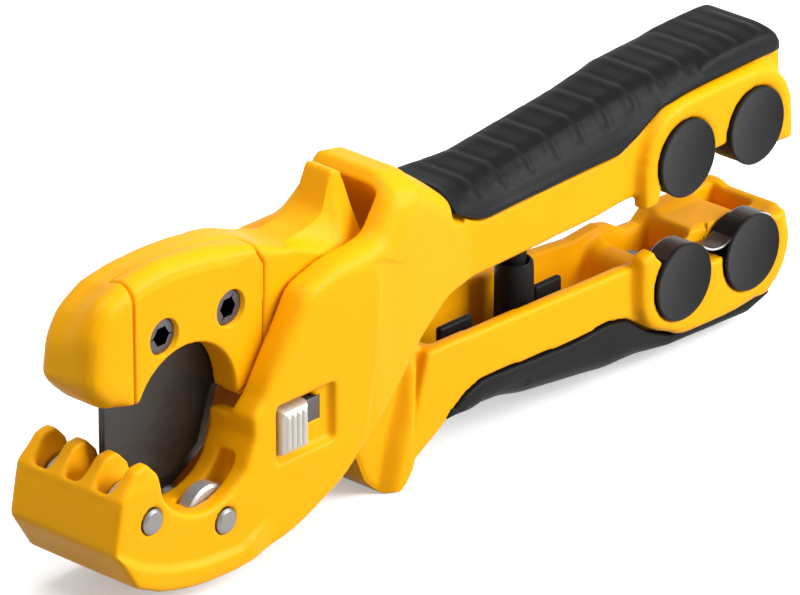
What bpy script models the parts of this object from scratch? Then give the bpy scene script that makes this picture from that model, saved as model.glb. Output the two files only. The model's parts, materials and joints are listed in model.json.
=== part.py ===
"""Hand pipe cutter for plastic pipe: a jaw with rollers, a blade lever and a pair of roller-ended handles.

The jaw, fork and upper handle are one casting that stays still. The lever carries the blade, swings in the
fork about the main pivot and runs on as the lower handle. X runs along the tool, the near side faces -Y,
Z is up. Outlines are given in millimetres about the blade plane; the tool is set on its base at the end.
"""

import math

import bmesh
import bpy
from mathutils import Vector

MM = 0.001

# Fits
GAP = 0.3                       # space between pieces that touch
PIN_GAP = 0.08                  # radial space of a pin in its bore
CUT = 40.0                      # how far a cutter runs past the casting

# Widths, as half widths about the blade plane
FORK_HALF = 14.5                # jaw and fork cheeks
SLOT_HALF = 8.0                 # space between the cheeks
LEVER_HALF = SLOT_HALF - 0.4    # nose, hub and arm of the lever
END_ROUND = 5.0                 # far corner of each handle end, seen from above
TAIL_HALF = 3.5                 # top of the stop tail
TAIL_SWEEP = 9.0                # radius of its hollow flanks
HANDLE_HALF = 10.2              # yellow sides of both handles
HOUSING_HALF = 11.7             # raised panels round the handle rollers
GRIP_HALF = HANDLE_HALF + 0.6   # rubber sides
PANEL_BACK = HANDLE_HALF - 1.2  # inner side of the raised panels
CORE_HALF = 7.6                 # casting inside the rubber
CHANNEL_HALF = 6.9              # hollow of the lower handle
HANDLE_END = 123.6
TAPER_FROM = -6.0               # the cheeks narrow from here
TAPER_TO = 25.0                 # to the handle width here

# Roundings of the rims
CHEEK_ROUND = 2.4
HOOD_ROUND = 4.0
CASTING_ROUND = 0.9
NOSE_ROUND = 3.6
UPPER_GRIP_ROUND = 6.2
LOWER_GRIP_ROUND = 4.6

# Main pivot
PIVOT = (-24.0, 2.0)
PIVOT_R = 4.0
CAVITY_R = 31.3                 # space the hub and tail turn in
HUB_R = 15.0

# Jaw
JAW_ARC = (-54.3, -13.5)
JAW_ARC_R = 13.8
JAW_PIN_FRONT = (-70.0, -23.9)
JAW_PIN_REAR = (-49.7, -31.1)
JAW_PIN_R = 2.7
JAW_PIN_PROUD = 0.35
JAW_ROLLER_R = {"front": 5.2, "rear": 5.8}
RIDGE_INNER = 2.15              # blade slot half width
RIDGE_OUTER = 6.15              # roller slots run from here
ROLLER_SLOT_END = 10.5          # to here
JAW_REAR = -38.0                # back of the web between the cheeks
JAW_WEB_TOP = -13.3

# Blade and its cover
BLADE_HALF = 0.75
COVER_ARC = (-53.3, -8.7)
COVER_ARC_R = 14.1
COVER_LEFT = -67.0
COVER_RIGHT = -31.9
SCREWS = ((-59.0, 9.2), (-40.6, 9.1))
SCREW_HEAD_R = 3.5
SCREW_SHANK_R = 2.0
SCREW_HEX = 3.0
SCREW_SUNK = 1.2
SCREW_HEAD_H = 3.3

# Handle rollers: centres seen from the side
UPPER_ROLLERS = ((88.4, 0.8), (110.1, 1.1))
LOWER_ROLLERS = ((87.8, -26.8), (109.5, -27.3))
DISC_R = 9.0
DISC_FACE = HOUSING_HALF + 0.9  # outer face of a roller disc
DISC_THICK = 1.1
UPPER_DRUM_R = 8.4
LOWER_DRUM_R = 7.5
DRUM_END = 6.2                  # inner end of a drum
ROLLER_POCKET_R = 9.4
POCKET_FLOOR = DRUM_END - GAP
AXLE_R = 2.5
AXLE_END = -2.0                 # axles end inside the web
PANEL_R = 12.4                  # rounding of the raised panels

# Lock button
BUTTON = (-34.5, -25.5, -24.0, -12.3)
BUTTON_FACE = FORK_HALF + 2.7
BUTTON_RIBS = 4
RECESS = (-35.0, -18.5, -24.4, -11.9)
RECESS_DEPTH = 1.6
LOCK_SLOT = (-31.5, -22.5, -18.0, -13.3)

# Handle spring
SLEEVE_X = 50.0
SLEEVE_R = 3.95
SLEEVE_BORE_R = 3.2
SLEEVE_TOP = -12.8
PLUNGER_R = 2.6
PLUNGER_TIP = -15.0
CARRIER_FLOOR = -30.7
CHANNEL_FLOOR = -31.0
SPRING_R = 2.35
WIRE_R = 0.4
SPRING_TURNS = 6

# Leaf strip over the lower rollers
STRIP_R = 8.2
STRIP_THICK = 0.5
STRIP_NEAR = HOUSING_HALF - 0.5
STRIP_FAR = STRIP_NEAR - 4.0

YELLOW = ((0.95, 0.56, 0.03, 1.0), 0.42, 0.0)
RUBBER = ((0.035, 0.035, 0.037, 1.0), 0.6, 0.0)
PLASTIC = ((0.04, 0.04, 0.042, 1.0), 0.5, 0.0)
STEEL = ((0.48, 0.48, 0.47, 1.0), 0.3, 1.0)
BLADE_STEEL = ((0.07, 0.07, 0.07, 1.0), 0.35, 0.9)
BLACK_STEEL = ((0.03, 0.03, 0.03, 1.0), 0.35, 0.8)

for old in list(bpy.data.objects):
    bpy.data.objects.remove(old, do_unlink=True)

PARTS = bpy.data.collections.new("pvc_pipe_cutter")
TOOLS = bpy.data.collections.new("cutters")
bpy.context.scene.collection.children.link(PARTS)
bpy.context.scene.collection.children.link(TOOLS)


# ---------------------------------------------------------------- outlines

def arc(centre, radius, start, end, steps=10):
    """Points along an arc, angles in degrees."""
    points = []
    for i in range(steps + 1):
        angle = math.radians(start + (end - start) * i / steps)
        points.append((centre[0] + radius * math.cos(angle), centre[1] + radius * math.sin(angle)))
    return points


def traced(corners, depth=None, share=0.0):
    """An outline from corners; a third value rounds that corner with an arc.

    depth(x, z) says how far the outline may move inward at a corner, share how much of that it does.
    Gives (x, z, depth) for every point.
    """
    points = []
    count = len(corners)
    ways = [(Vector(corners[(i + 1) % count][:2]) - Vector(corners[i][:2])) for i in range(count)]
    area = sum(corners[i - 1][0] * corners[i][1] - corners[i][0] * corners[i - 1][1] for i in range(count))
    sign = 1.0 if area > 0 else -1.0
    for i, corner in enumerate(corners):
        before = ways[i - 1].normalized()
        after = ways[i].normalized()
        turn = math.atan2(before.x * after.y - before.y * after.x, before.dot(after))
        inward = Vector((-before.y - after.y, before.x + after.x)).normalized() * sign
        spread = math.cos(turn / 2)
        deep = depth(corner[0], corner[1]) if depth else 0.0
        here = Vector(corner[:2]) + inward * deep * share / spread
        if len(corner) < 3:
            points.append((here.x, here.y, deep))
            continue
        radius = min(corner[2], 0.48 * min(ways[i - 1].length, ways[i].length) / math.tan(abs(turn) / 2))
        convex = turn * sign > 0
        radius = max(radius - deep * share, 0.1) if convex else radius + deep * share
        centre = here + inward * radius / spread * (1.0 if convex else -1.0)
        first = Vector((before.y, -before.x)) * radius * (1.0 if turn > 0 else -1.0)
        steps = max(2, math.ceil(math.degrees(abs(turn)) / 18))
        for k in range(steps + 1):
            a = turn * k / steps
            points.append((centre.x + first.x * math.cos(a) - first.y * math.sin(a),
                           centre.y + first.x * math.sin(a) + first.y * math.cos(a), deep))
    return points


def rounded(corners):
    """The plain outline of a list of corners."""
    return [(x, z) for x, z, _ in traced(corners)]


def grown(outline, amount):
    """The same outline moved outward by an amount."""
    count = len(outline)
    area = sum(outline[i - 1][0] * outline[i][1] - outline[i][0] * outline[i - 1][1] for i in range(count))
    sign = 1.0 if area > 0 else -1.0
    moved = []
    for i in range(count):
        back = (Vector(outline[i]) - Vector(outline[i - 1])).normalized()
        ahead = (Vector(outline[(i + 1) % count]) - Vector(outline[i])).normalized()
        normal = Vector((back.y + ahead.y, -back.x - ahead.x)).normalized() * sign
        spread = max(0.5, normal.dot(Vector((back.y, -back.x)) * sign))
        moved.append((outline[i][0] + normal.x * amount / spread, outline[i][1] + normal.y * amount / spread))
    return moved


# ---------------------------------------------------------------- solids

def material(name, look):
    """A plain finish."""
    found = bpy.data.materials.get(name)
    if found:
        return found
    made = bpy.data.materials.new(name)
    made.use_nodes = True
    shader = made.node_tree.nodes["Principled BSDF"]
    shader.inputs["Base Color"].default_value = look[0]
    shader.inputs["Roughness"].default_value = look[1]
    shader.inputs["Metallic"].default_value = look[2]
    return made


def placed(name, mesh, home=TOOLS):
    """An object for a mesh, in the parts or the cutters."""
    made = bpy.data.objects.new(name, mesh)
    home.objects.link(made)
    if home is TOOLS:
        made.hide_render = True
        made.display_type = "WIRE"
    return made


def plate(name, outline, near, far, home=TOOLS):
    """A flat outline in the side view, filling the width from near to far."""
    data = bpy.data.curves.new(name, "CURVE")
    data.dimensions = "2D"
    data.fill_mode = "BOTH"
    data.extrude = abs(far - near) * MM / 2
    spline = data.splines.new("POLY")
    spline.points.add(len(outline) - 1)
    for point, (x, z) in zip(spline.points, outline):
        point.co = (x * MM, z * MM, 0.0, 1.0)
    spline.use_cyclic_u = True
    curve = placed(name + "_outline", data)
    curve.rotation_euler = (math.pi / 2, 0.0, 0.0)
    curve.location = (0.0, (near + far) / 2 * MM, 0.0)
    made = solid(curve, name, home)
    made.data.transform(made.matrix_basis)
    made.location = (0.0, 0.0, 0.0)
    made.rotation_euler = (0.0, 0.0, 0.0)
    return made


def solid(source, name, home=TOOLS):
    """The closed mesh of a curve or a turned profile, welded, standing where its source stood."""
    graph = bpy.context.evaluated_depsgraph_get()
    mesh = bpy.data.meshes.new_from_object(source.evaluated_get(graph))
    shape = bmesh.new()
    shape.from_mesh(mesh)
    bmesh.ops.remove_doubles(shape, verts=shape.verts, dist=0.000001)
    bmesh.ops.recalc_face_normals(shape, faces=shape.faces)
    shape.to_mesh(mesh)
    shape.free()
    made = placed(name, mesh, home)
    made.location = source.location
    made.rotation_euler = source.rotation_euler
    bpy.data.objects.remove(source, do_unlink=True)
    return made


def pillow(name, corners, half, depth, home=TOOLS, steps=3):
    """A plate whose rim is rounded on both sides, by depth(x, z) at each corner."""
    shape = bmesh.new()
    rings = []
    for side in (-1, 1):
        for k in range(steps, -1, -1):
            angle = math.radians(90.0 * (k if side < 0 else steps - k) / steps)
            ring = []
            for x, z, deep in traced(corners, depth, 1 - math.cos(angle)):
                y = side * (half - deep * (1 - math.sin(angle)))
                ring.append(shape.verts.new(Vector((x, y, z)) * MM))
            rings.append(ring)
    count = len(rings[0])
    for low, high in zip(rings, rings[1:]):
        for i in range(count):
            j = (i + 1) % count
            shape.faces.new((low[i], low[j], high[j], high[i]))
    caps = [shape.faces.new(rings[0]), shape.faces.new(rings[-1])]
    bmesh.ops.recalc_face_normals(shape, faces=shape.faces)
    bmesh.ops.triangulate(shape, faces=caps)
    mesh = bpy.data.meshes.new(name)
    shape.to_mesh(mesh)
    shape.free()
    return placed(name, mesh, home)


def block(name, x, y, z, home=TOOLS):
    """A box between two values on each axis."""
    shape = bmesh.new()
    bmesh.ops.create_cube(shape, size=1.0)
    size = Vector((x[1] - x[0], y[1] - y[0], z[1] - z[0])) * MM
    for vert in shape.verts:
        vert.co *= size
    mesh = bpy.data.meshes.new(name)
    shape.to_mesh(mesh)
    shape.free()
    made = placed(name, mesh, home)
    made.location = Vector((sum(x) / 2, sum(y) / 2, sum(z) / 2)) * MM
    return made


def rod(name, centre, radius, near, far, home=TOOLS, sides=40):
    """A cylinder across the tool, its origin on its own axis."""
    shape = bmesh.new()
    bmesh.ops.create_cone(shape, cap_ends=True, segments=sides, radius1=radius * MM, radius2=radius * MM,
                          depth=abs(far - near) * MM)
    mesh = bpy.data.meshes.new(name)
    shape.to_mesh(mesh)
    shape.free()
    made = placed(name, mesh, home)
    made.rotation_euler = (math.pi / 2, 0.0, 0.0)
    made.location = (centre[0] * MM, (near + far) / 2 * MM, centre[1] * MM)
    return made


def post(name, x, y, radius, low, high, home=TOOLS, sides=40):
    """An upright cylinder."""
    shape = bmesh.new()
    bmesh.ops.create_cone(shape, cap_ends=True, segments=sides, radius1=radius * MM, radius2=radius * MM,
                          depth=(high - low) * MM)
    mesh = bpy.data.meshes.new(name)
    shape.to_mesh(mesh)
    shape.free()
    made = placed(name, mesh, home)
    made.location = (x * MM, y * MM, (low + high) / 2 * MM)
    return made


def turned(name, profile, centre, middle, home=PARTS, sides=36):
    """A profile of (radius, distance along the axis) turned about an axis across the tool."""
    mesh = bpy.data.meshes.new(name)
    verts = [(r * MM, 0.0, h * MM) for r, h in profile]
    edges = [(i, i + 1) for i in range(len(verts) - 1)]
    mesh.from_pydata(verts, edges, [])
    made = placed(name + "_profile", mesh)
    spin = made.modifiers.new("turned", "SCREW")
    spin.axis = "Z"
    spin.steps = sides
    spin.render_steps = sides
    spin.use_merge_vertices = True
    spin.merge_threshold = 0.00001
    made.rotation_euler = (math.pi / 2, 0.0, 0.0)
    made.location = (centre[0] * MM, middle * MM, centre[1] * MM)
    return solid(made, name, home)


# ---------------------------------------------------------------- working the solids

def combine(target, other, operation):
    """One exact Boolean."""
    step = target.modifiers.new(other.name, "BOOLEAN")
    step.operation = operation
    step.solver = "EXACT"
    step.object = other
    step.show_viewport = False
    return target


def cut(target, *others):
    """Take shapes away."""
    for other in others:
        combine(target, other, "DIFFERENCE")
    return target


def fuse(target, *others):
    """Add shapes."""
    for other in others:
        combine(target, other, "UNION")
    return target


def soften(target, width, segments=2):
    """Round the sharp edges."""
    bevel = target.modifiers.new("rounding", "BEVEL")
    bevel.width = width * MM
    bevel.segments = segments
    bevel.limit_method = "ANGLE"
    bevel.angle_limit = math.radians(40.0)
    bevel.use_clamp_overlap = True
    bevel.show_viewport = False
    return target


def along(x, stations):
    """A value read off straight lines between (x, value) stations."""
    if x <= stations[0][0]:
        return stations[0][1]
    for (x0, v0), (x1, v1) in zip(stations, stations[1:]):
        if x <= x1:
            return v0 + (v1 - v0) * (x - x0) / (x1 - x0)
    return stations[-1][1]


def narrow(target, stations):
    """Taper a flat-sided solid: the half width changes in straight lines between (x, share) stations."""
    shape = bmesh.new()
    shape.from_mesh(target.data)
    for x, _ in stations:
        everything = shape.verts[:] + shape.edges[:] + shape.faces[:]
        bmesh.ops.bisect_plane(shape, geom=everything, dist=0.0000001, plane_co=(x * MM, 0, 0),
                               plane_no=(1, 0, 0))
    for vert in shape.verts:
        vert.co.y *= along(vert.co.x / MM, stations)
    shape.to_mesh(target.data)
    shape.free()
    return target


def finish(target, name, look):
    """Give a sub-part its finish and smooth round faces."""
    target.data.materials.clear()
    target.data.materials.append(material(name, look))
    for face in target.data.polygons:
        face.use_smooth = True
    split = target.data
    split.set_sharp_from_angle(angle=math.radians(35))
    return target


def hold(target, parent):
    """Carry a piece with another, where it already is."""
    target.parent = parent
    target.matrix_parent_inverse = parent.matrix_world.inverted()
    return target


# ---------------------------------------------------------------- outlines of the castings

def frame_outline():
    """Jaw, fork cheeks and upper handle, seen from the near side."""
    front = [(-75.2, -36.4, 2.0), (-80.4, -28.0, 2.0), (-78.3, -17.2, 1.0), (-73.6, -12.4, 1.0),
             (-70.3, -11.8, 1.2), (-67.4, -15.0, 1.0)]
    fork = [(-41.4, -16.6, 2.0), (-41.6, -12.2, 1.5), (-38.2, -9.2, 1.5), (-34.2, -3.0, 12.0),
            (-29.8, 3.4, 8.0), (-26.0, 9.6, 6.0), (-17.0, 12.2, 10.0), (-4.8, 13.2, 5.0), (0.2, 21.4, 1.0)]
    top = [(2.4, 23.8, 1.5), (9.6, 22.2), (8.9, 19.4), (14.5, 14.6), (22.0, 11.2, 6.0), (38.0, 12.0),
           (68.0, 15.0), (83.0, 16.6), (110.0, 16.6, 3.0), (117.0, 13.6), (119.4, 15.6)]
    end = [(120.6, 14.8), (121.2, 7.8), (123.4, 3.0, 2.0), (123.6, -5.8, 0.8), (119.2, -5.8)]
    under = [(110.0, -5.2), (76.0, -4.6), (27.0, -5.6, 20.0), (18.5, -7.0, 12.0), (10.0, -13.2, 20.0),
             (-0.4, -22.0, 20.0), (-16.6, -34.6, 16.0), (-30.4, -40.6, 30.0), (-47.0, -42.8, 60.0),
             (-60.4, -41.8, 40.0), (-68.5, -39.6, 12.0)]
    jaw = arc(JAW_ARC, JAW_ARC_R, 207, 318, 12)
    return front + jaw + fork + top + end + under


def cavity_outline():
    """Space between the cheeks: the turning circle, open forward, upward and below for the arm."""
    web = [(-50.0, JAW_WEB_TOP), (JAW_REAR, JAW_WEB_TOP), (JAW_REAR, -60.0), (40.0, -60.0), (40.0, -7.6)]
    low = math.degrees(math.asin((-7.6 - PIVOT[1]) / CAVITY_R))
    turning = arc(PIVOT, CAVITY_R, low, 43.0, 10)
    return web + turning + [(-3.0, 40.0), (-50.0, 40.0)]


def grip_outline(upper):
    """Rubber of one handle, seen from the near side."""
    if upper:
        top = [(9.9, 22.0), (22.0, 14.4, 14.0), (38.0, 15.0, 60.0), (68.0, 18.2, 90.0), (84.0, 20.0, 40.0),
               (113.0, 19.8, 4.0), (119.2, 15.9, 1.0)]
        edge = [(119.0, 14.5), (90.0, 14.0), (83.0, 13.4, 5.0), (76.0, 8.9, 4.0), (70.0, 6.4, 6.0),
                (53.0, 6.2), (29.0, 5.6, 8.0), (22.0, 8.9, 6.0), (15.0, 14.9), (9.6, 19.6)]
        return top + edge
    low = [(18.0, -36.2), (30.0, -35.6, 8.0), (42.0, -37.0, 60.0), (62.0, -39.5, 60.0), (77.0, -41.3, 30.0),
           (87.0, -42.1, 30.0), (112.0, -43.0, 3.0), (118.4, -40.3)]
    edge = [(117.9, -39.2), (101.6, -39.9), (87.6, -39.5, 6.0), (81.0, -36.7, 4.0), (73.1, -31.4, 4.0),
            (67.5, -30.3, 5.0), (56.7, -30.9), (29.5, -29.4, 8.0), (24.4, -31.0, 4.0), (20.2, -33.8)]
    return low + edge


def lower_handle_outline():
    """Yellow body of the lower handle and the knuckle in front of it."""
    wall = [(13.2, -18.0, 1.5), (80.0, -20.4), (118.5, -21.6), (121.5, -21.0), (123.4, -23.6, 1.0)]
    end = [(123.2, -30.0, 3.0), (121.2, -35.4, 3.0), (117.6, -38.8)]
    under = [(112.0, -40.0, 2.0), (87.0, -39.3), (77.0, -38.4), (60.0, -36.6), (40.0, -34.2),
             (29.0, -32.8, 4.0), (19.5, -35.2), (14.9, -37.8), (8.6, -41.4, 3.0), (5.0, -46.0, 1.0)]
    return wall + end + under + [(4.3, -45.8)]


def lever_outline():
    """Nose, hub, stop tail and arm of the lever."""
    nose = [(-66.6, -2.6, 1.0), (-73.6, -2.2, 5.0), (-79.4, 3.4, 5.0), (-78.4, 14.8, 9.0), (-74.6, 20.4, 7.0),
            (-68.0, 22.6, 12.0), (-58.4, 24.2, 30.0), (-44.7, 22.8, 60.0), (-31.4, 19.3, 30.0),
            (-23.6, 15.8, 8.0), (-16.0, 16.6), (-10.6, 18.2, 3.0), (-8.0, 26.8, 1.0), (-5.0, 25.4, 0.8), (-3.2, 18.0)]
    arm = [(-1.0, 10.0), (1.2, 0.0, 6.0), (5.6, -11.6, 2.0), (15.0, -18.6), (18.0, -30.0), (6.5, -44.8),
           (1.8, -46.0, 1.5), (-2.4, -42.0, 2.0), (-5.5, -34.5), (-14.0, -21.0, 6.0)]
    low = [(-24.0, -13.0, 6.0), (-33.0, -11.6), (-38.8, -10.2, 1.5)]
    recess = arc(COVER_ARC, COVER_ARC_R, 4, 152, 14)
    return nose + arm + low + recess


def cover_outline():
    """Cover over the near side of the blade; toward the pipe it runs past the rim of the nose."""
    top = [(COVER_LEFT, 30.0), (COVER_RIGHT - 1.0, 30.0), (COVER_RIGHT - 1.0, 18.0),
           (COVER_RIGHT + 0.6, 15.4, 1.5), (COVER_RIGHT, -2.0, 2.0), (-36.0, -8.4, 1.0), (-38.9, -9.6)]
    inside = arc(COVER_ARC, COVER_ARC_R - 2.0, 4, 152, 8)
    return rounded(top + inside + [(COVER_LEFT, -6.0)])


def blade_outline():
    """Blade from the hidden root down to the edge below the rollers' pipe line."""
    return rounded([(-64.6, 10.0, 2.0), (-69.2, 4.0, 1.0), (-69.2, -17.5, 1.5), (-64.8, -24.0, 4.0),
                    (-57.0, -28.2, 6.0), (-49.0, -27.6, 8.0), (-41.0, -22.6, 5.0), (-37.4, -12.0, 3.0),
                    (-35.2, -4.0, 2.0), (-35.2, 13.5, 3.0), (-63.6, 13.8, 3.0)])


# ---------------------------------------------------------------- the still casting

def frame_casting():
    """Jaw, fork and upper handle in one casting."""
    body = pillow("frame_casting", frame_outline(), FORK_HALF, frame_round, PARTS)
    share = HANDLE_HALF / FORK_HALF
    narrow(body, [(TAPER_FROM, 1.0), (TAPER_TO, share)])
    cut(body, plate("fork_cavity", cavity_outline(), -SLOT_HALF, SLOT_HALF))
    cut_jaw(body)
    cut_lock(body)
    cut(body, rod("pivot_bore", PIVOT, PIVOT_R + PIN_GAP, -12.3, CUT))
    cut_upper_handle(body)
    return finish(body, "yellow_casting", YELLOW)


def frame_round(x, z):
    """The hood is rounded most, then the cheeks; jaw and handle have a plain casting radius."""
    if x < -43.0 or x > 15.0 or z < -14.0:
        return CASTING_ROUND
    return along(x, [(-42.0, CASTING_ROUND), (-34.0, CHEEK_ROUND), (-15.0, CHEEK_ROUND), (-5.0, HOOD_ROUND),
                     (3.0, HOOD_ROUND), (9.0, CHEEK_ROUND), (14.5, CASTING_ROUND)])


def cut_jaw(body):
    """Blade slot, roller slots and pin bores."""
    blade_slot = rounded([(-90.0, -5.0), (-90.0, -19.4), (-73.8, -19.4, 0.8), (-73.8, -28.5, 3.0),
                          (-58.0, -35.0, 5.0), (-44.0, -35.0, 4.0), (-36.0, -27.0), (-36.0, -5.0)])
    front = [(-90.0, -5.0), (-90.0, -19.4), (JAW_PIN_FRONT[0] - 5.8, -19.4)]
    front += arc(JAW_PIN_FRONT, JAW_ROLLER_R["front"] + 0.6, 165, 375, 14)
    front += [(JAW_PIN_FRONT[0] + 6.4, -5.0)]
    rear = [(JAW_PIN_REAR[0] - JAW_ROLLER_R["rear"] - 0.6, -15.0)]
    rear += arc(JAW_PIN_REAR, JAW_ROLLER_R["rear"] + 0.6, 180, 345, 12)
    rear += [(-40.6, -25.0), (-40.6, -20.3), (-47.0, -20.3), (-47.0, -15.0)]
    cut(body, plate("blade_slot", blade_slot, -RIDGE_INNER, RIDGE_INNER))
    for side, near, far in (("near", -ROLLER_SLOT_END, -RIDGE_OUTER), ("far", RIDGE_OUTER, ROLLER_SLOT_END)):
        cut(body, plate("front_roller_slot_" + side, front, near, far))
        cut(body, plate("rear_roller_slot_" + side, rear, near, far))
    for place, centre in (("front", JAW_PIN_FRONT), ("rear", JAW_PIN_REAR)):
        cut(body, rod("jaw_pin_bore_" + place, centre, JAW_PIN_R + PIN_GAP, -CUT, CUT))


def cut_lock(body):
    """Recess and slot of the lock button in the near cheek."""
    x0, x1, z0, z1 = RECESS
    recess = block("lock_recess", (x0, x1), (-FORK_HALF - 5.0, -FORK_HALF + RECESS_DEPTH), (z0, z1))
    x0, x1, z0, z1 = LOCK_SLOT
    slot = block("lock_slot", (x0, x1), (-FORK_HALF - 5.0, -SLOT_HALF + 1.0), (z0, z1))
    cut(body, recess, slot)


def panel_outline(centres, down):
    """Raised panel round a pair of handle rollers, open toward the other handle."""
    (xa, za), (xb, zb) = centres
    if down:
        outline = [(76.0, -7.4)] + arc((xa, za), PANEL_R, 180, 90, 6)
        outline += arc((xb, zb), PANEL_R, 90, 0, 6) + [(122.5, -5.6)]
        return outline
    outline = [(75.4, -18.2), (79.2, -17.2), (80.4, -19.6), (121.0, -21.4)]
    return outline + arc((xb, zb), PANEL_R + 0.6, 0, -90, 6) + arc((xa, za), PANEL_R, 270, 180, 6)


def cut_upper_handle(body):
    """Rubber seat, hollow, roller panel and roller pockets of the upper handle."""
    seat = grown(rounded(grip_outline(True)), GAP)
    for side, near, far in (("near", -CUT, -CORE_HALF), ("far", CORE_HALF, CUT)):
        cut(body, plate("upper_grip_seat_" + side, seat, near, far))
    hollow = rounded([(24.0, -20.0), (24.0, 1.0, 3.0), (30.0, 3.2, 3.0), (74.0, 3.2, 4.0), (74.0, -20.0)])
    cut(body, plate("upper_hollow", hollow, -CHANNEL_HALF, CHANNEL_HALF))
    fuse(body, spring_boss())
    panel = plate("upper_panel", panel_outline(UPPER_ROLLERS, True), -HOUSING_HALF, -PANEL_BACK)
    fuse(body, soften(panel, 0.8, 2))
    cut_roller_pockets(body, "upper", UPPER_ROLLERS, -1)
    cut(body, block("plunger_bore", (SLEEVE_X - 2.2, SLEEVE_X + 2.2), (-2.2, 2.2), (-CUT, 1.0)))
    cut(body, end_corner("upper_end_corner", HANDLE_END, HANDLE_HALF))


def end_corner(name, x, half):
    """Cutter that rounds the far corner of a handle end, seen from above."""
    corner = block(name, (x - END_ROUND, x + 20.0), (half - END_ROUND, CUT), (-60.0, 60.0))
    return cut(corner, post(name + "_round", x - END_ROUND, half - END_ROUND, END_ROUND, -70.0, 70.0))


def spring_boss():
    """Boss in the hollow of the upper handle that holds the plunger."""
    width = CHANNEL_HALF + 1.0
    return block("spring_boss", (SLEEVE_X - 5.0, SLEEVE_X + 5.0), (-width, width), (-3.4, 5.0))


def cut_roller_pockets(body, level, centres, way):
    """Round pockets that open toward the other handle, and the axle bores behind them."""
    (xa, za), (xb, zb) = centres
    tongue = -0.6 if way < 0 else -25.6
    reach = (-CUT, tongue) if way < 0 else (tongue, CUT)
    cut(body, block(level + "_mouth", (xa, xb), (-CUT, -POCKET_FLOOR), reach))
    for place, centre in (("front", centres[0]), ("rear", centres[1])):
        cut(body, rod(level + "_pocket_" + place, centre, ROLLER_POCKET_R, -CUT, -POCKET_FLOOR))
        mouth = (centre[0] - 8.0, centre[0] + 8.0)
        low, high = sorted((centre[1], centre[1] + way * CUT))
        if way < 0:
            cut(body, block(level + "_open_" + place, mouth, (-CUT, -POCKET_FLOOR), (low, high)))
        cut(body, rod(level + "_axle_bore_" + place, centre, AXLE_R + PIN_GAP, -CUT, -AXLE_END + GAP))


# ---------------------------------------------------------------- the lever

def lever_casting():
    """Nose, hub, arm and lower handle in one casting."""
    body = pillow("lever_casting", lever_outline(), LEVER_HALF, lever_round, PARTS)
    for side in (-1, 1):
        cut(body, *tail_flank(side))
    handle = pillow("lower_handle", lower_handle_outline(), HANDLE_HALF, lambda x, z: CASTING_ROUND)
    for side in (-1, 1):
        cut(handle, step_face(side))
    fuse(body, handle)
    panel = plate("lower_panel", panel_outline(LOWER_ROLLERS, False), -HOUSING_HALF, -PANEL_BACK)
    fuse(body, soften(panel, 0.8, 2))
    cut_nose(body)
    cut(body, rod("hub_bore", PIVOT, PIVOT_R + PIN_GAP, -CUT, CUT))
    cut_lower_handle(body)
    return finish(body, "yellow_casting", YELLOW)


def lever_round(x, z):
    """The outside of the nose is rounded most, the recess round the pipe hardly at all."""
    if math.hypot(x - COVER_ARC[0], z - COVER_ARC[1]) < COVER_ARC_R + 1.2:
        return CASTING_ROUND / 2
    if x < -60.0 or z > 10.0:
        return along(x, [(-44.0, NOSE_ROUND), (-24.0, CASTING_ROUND)])
    return CASTING_ROUND


def tail_flank(side):
    """Cutters for one hollow flank, which narrows the stop tail toward its top."""
    place = "near" if side < 0 else "far"
    middle = side * (TAIL_HALF + TAIL_SWEEP)
    sweep = post("tail_sweep_" + place, 0.0, 0.0, TAIL_SWEEP, -7.5, 7.5)
    sweep.rotation_euler = (0.0, math.pi / 2, 0.0)
    sweep.location = Vector((-7.0, middle, 26.0)) * MM
    above = block("tail_above_" + place, (-14.0, 0.0), sorted((side * TAIL_HALF, middle)), (26.0, 40.0))
    return sweep, above


def step_face(side):
    """The slanted face where the narrow arm widens to the handle."""
    cutter = block("arm_step_" + ("near" if side < 0 else "far"), (-30.0, 0.0), (-30.0, 30.0), (-40.0, 40.0))
    shape = cutter.data
    for vert in shape.vertices:
        vert.co.x -= 15.0 * MM
    cutter.location = Vector((8.2, side * (HANDLE_HALF + 0.3), -31.0)) * MM
    cutter.rotation_euler = (0.0, math.radians(15.5), 0.0)
    return cutter


def cut_nose(body):
    """Cover seat, blade seat and screw holes in the nose."""
    cut(body, plate("cover_seat", grown(cover_outline(), GAP), -CUT, -BLADE_HALF))
    cut(body, plate("blade_seat", grown(blade_outline(), GAP), -BLADE_HALF - 2.0, BLADE_HALF + GAP))
    for place, centre in zip(("front", "rear"), SCREWS):
        cut(body, rod("screw_hole_" + place, centre, SCREW_SHANK_R + PIN_GAP, -CUT, 5.0))


def cut_lower_handle(body):
    """Rubber seat, channel, roller pockets and end pockets of the lower handle."""
    seat = grown(rounded(grip_outline(False)), GAP)
    for side, near, far in (("near", -CUT, -CORE_HALF), ("far", CORE_HALF, CUT)):
        cut(body, plate("lower_grip_seat_" + side, seat, near, far))
    channel = rounded([(16.5, 10.0), (16.5, -24.0, 4.0), (21.0, CHANNEL_FLOOR, 3.0),
                       (76.0, CHANNEL_FLOOR, 6.0), (80.0, -22.4, 4.0), (98.0, -22.4), (98.0, 10.0)])
    cut(body, plate("lower_channel", channel, -CHANNEL_HALF, CHANNEL_HALF))
    cut(body, block("end_pocket_front", (84.0, 99.0), (-4.6, 6.6), (-30.0, CUT)))
    cut(body, block("end_pocket_rear", (106.6, 119.4), (-4.6, 6.6), (-31.0, CUT)))
    cut_roller_pockets(body, "lower", LOWER_ROLLERS, 1)
    cut(body, end_corner("lower_end_corner", HANDLE_END, HANDLE_HALF))


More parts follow.
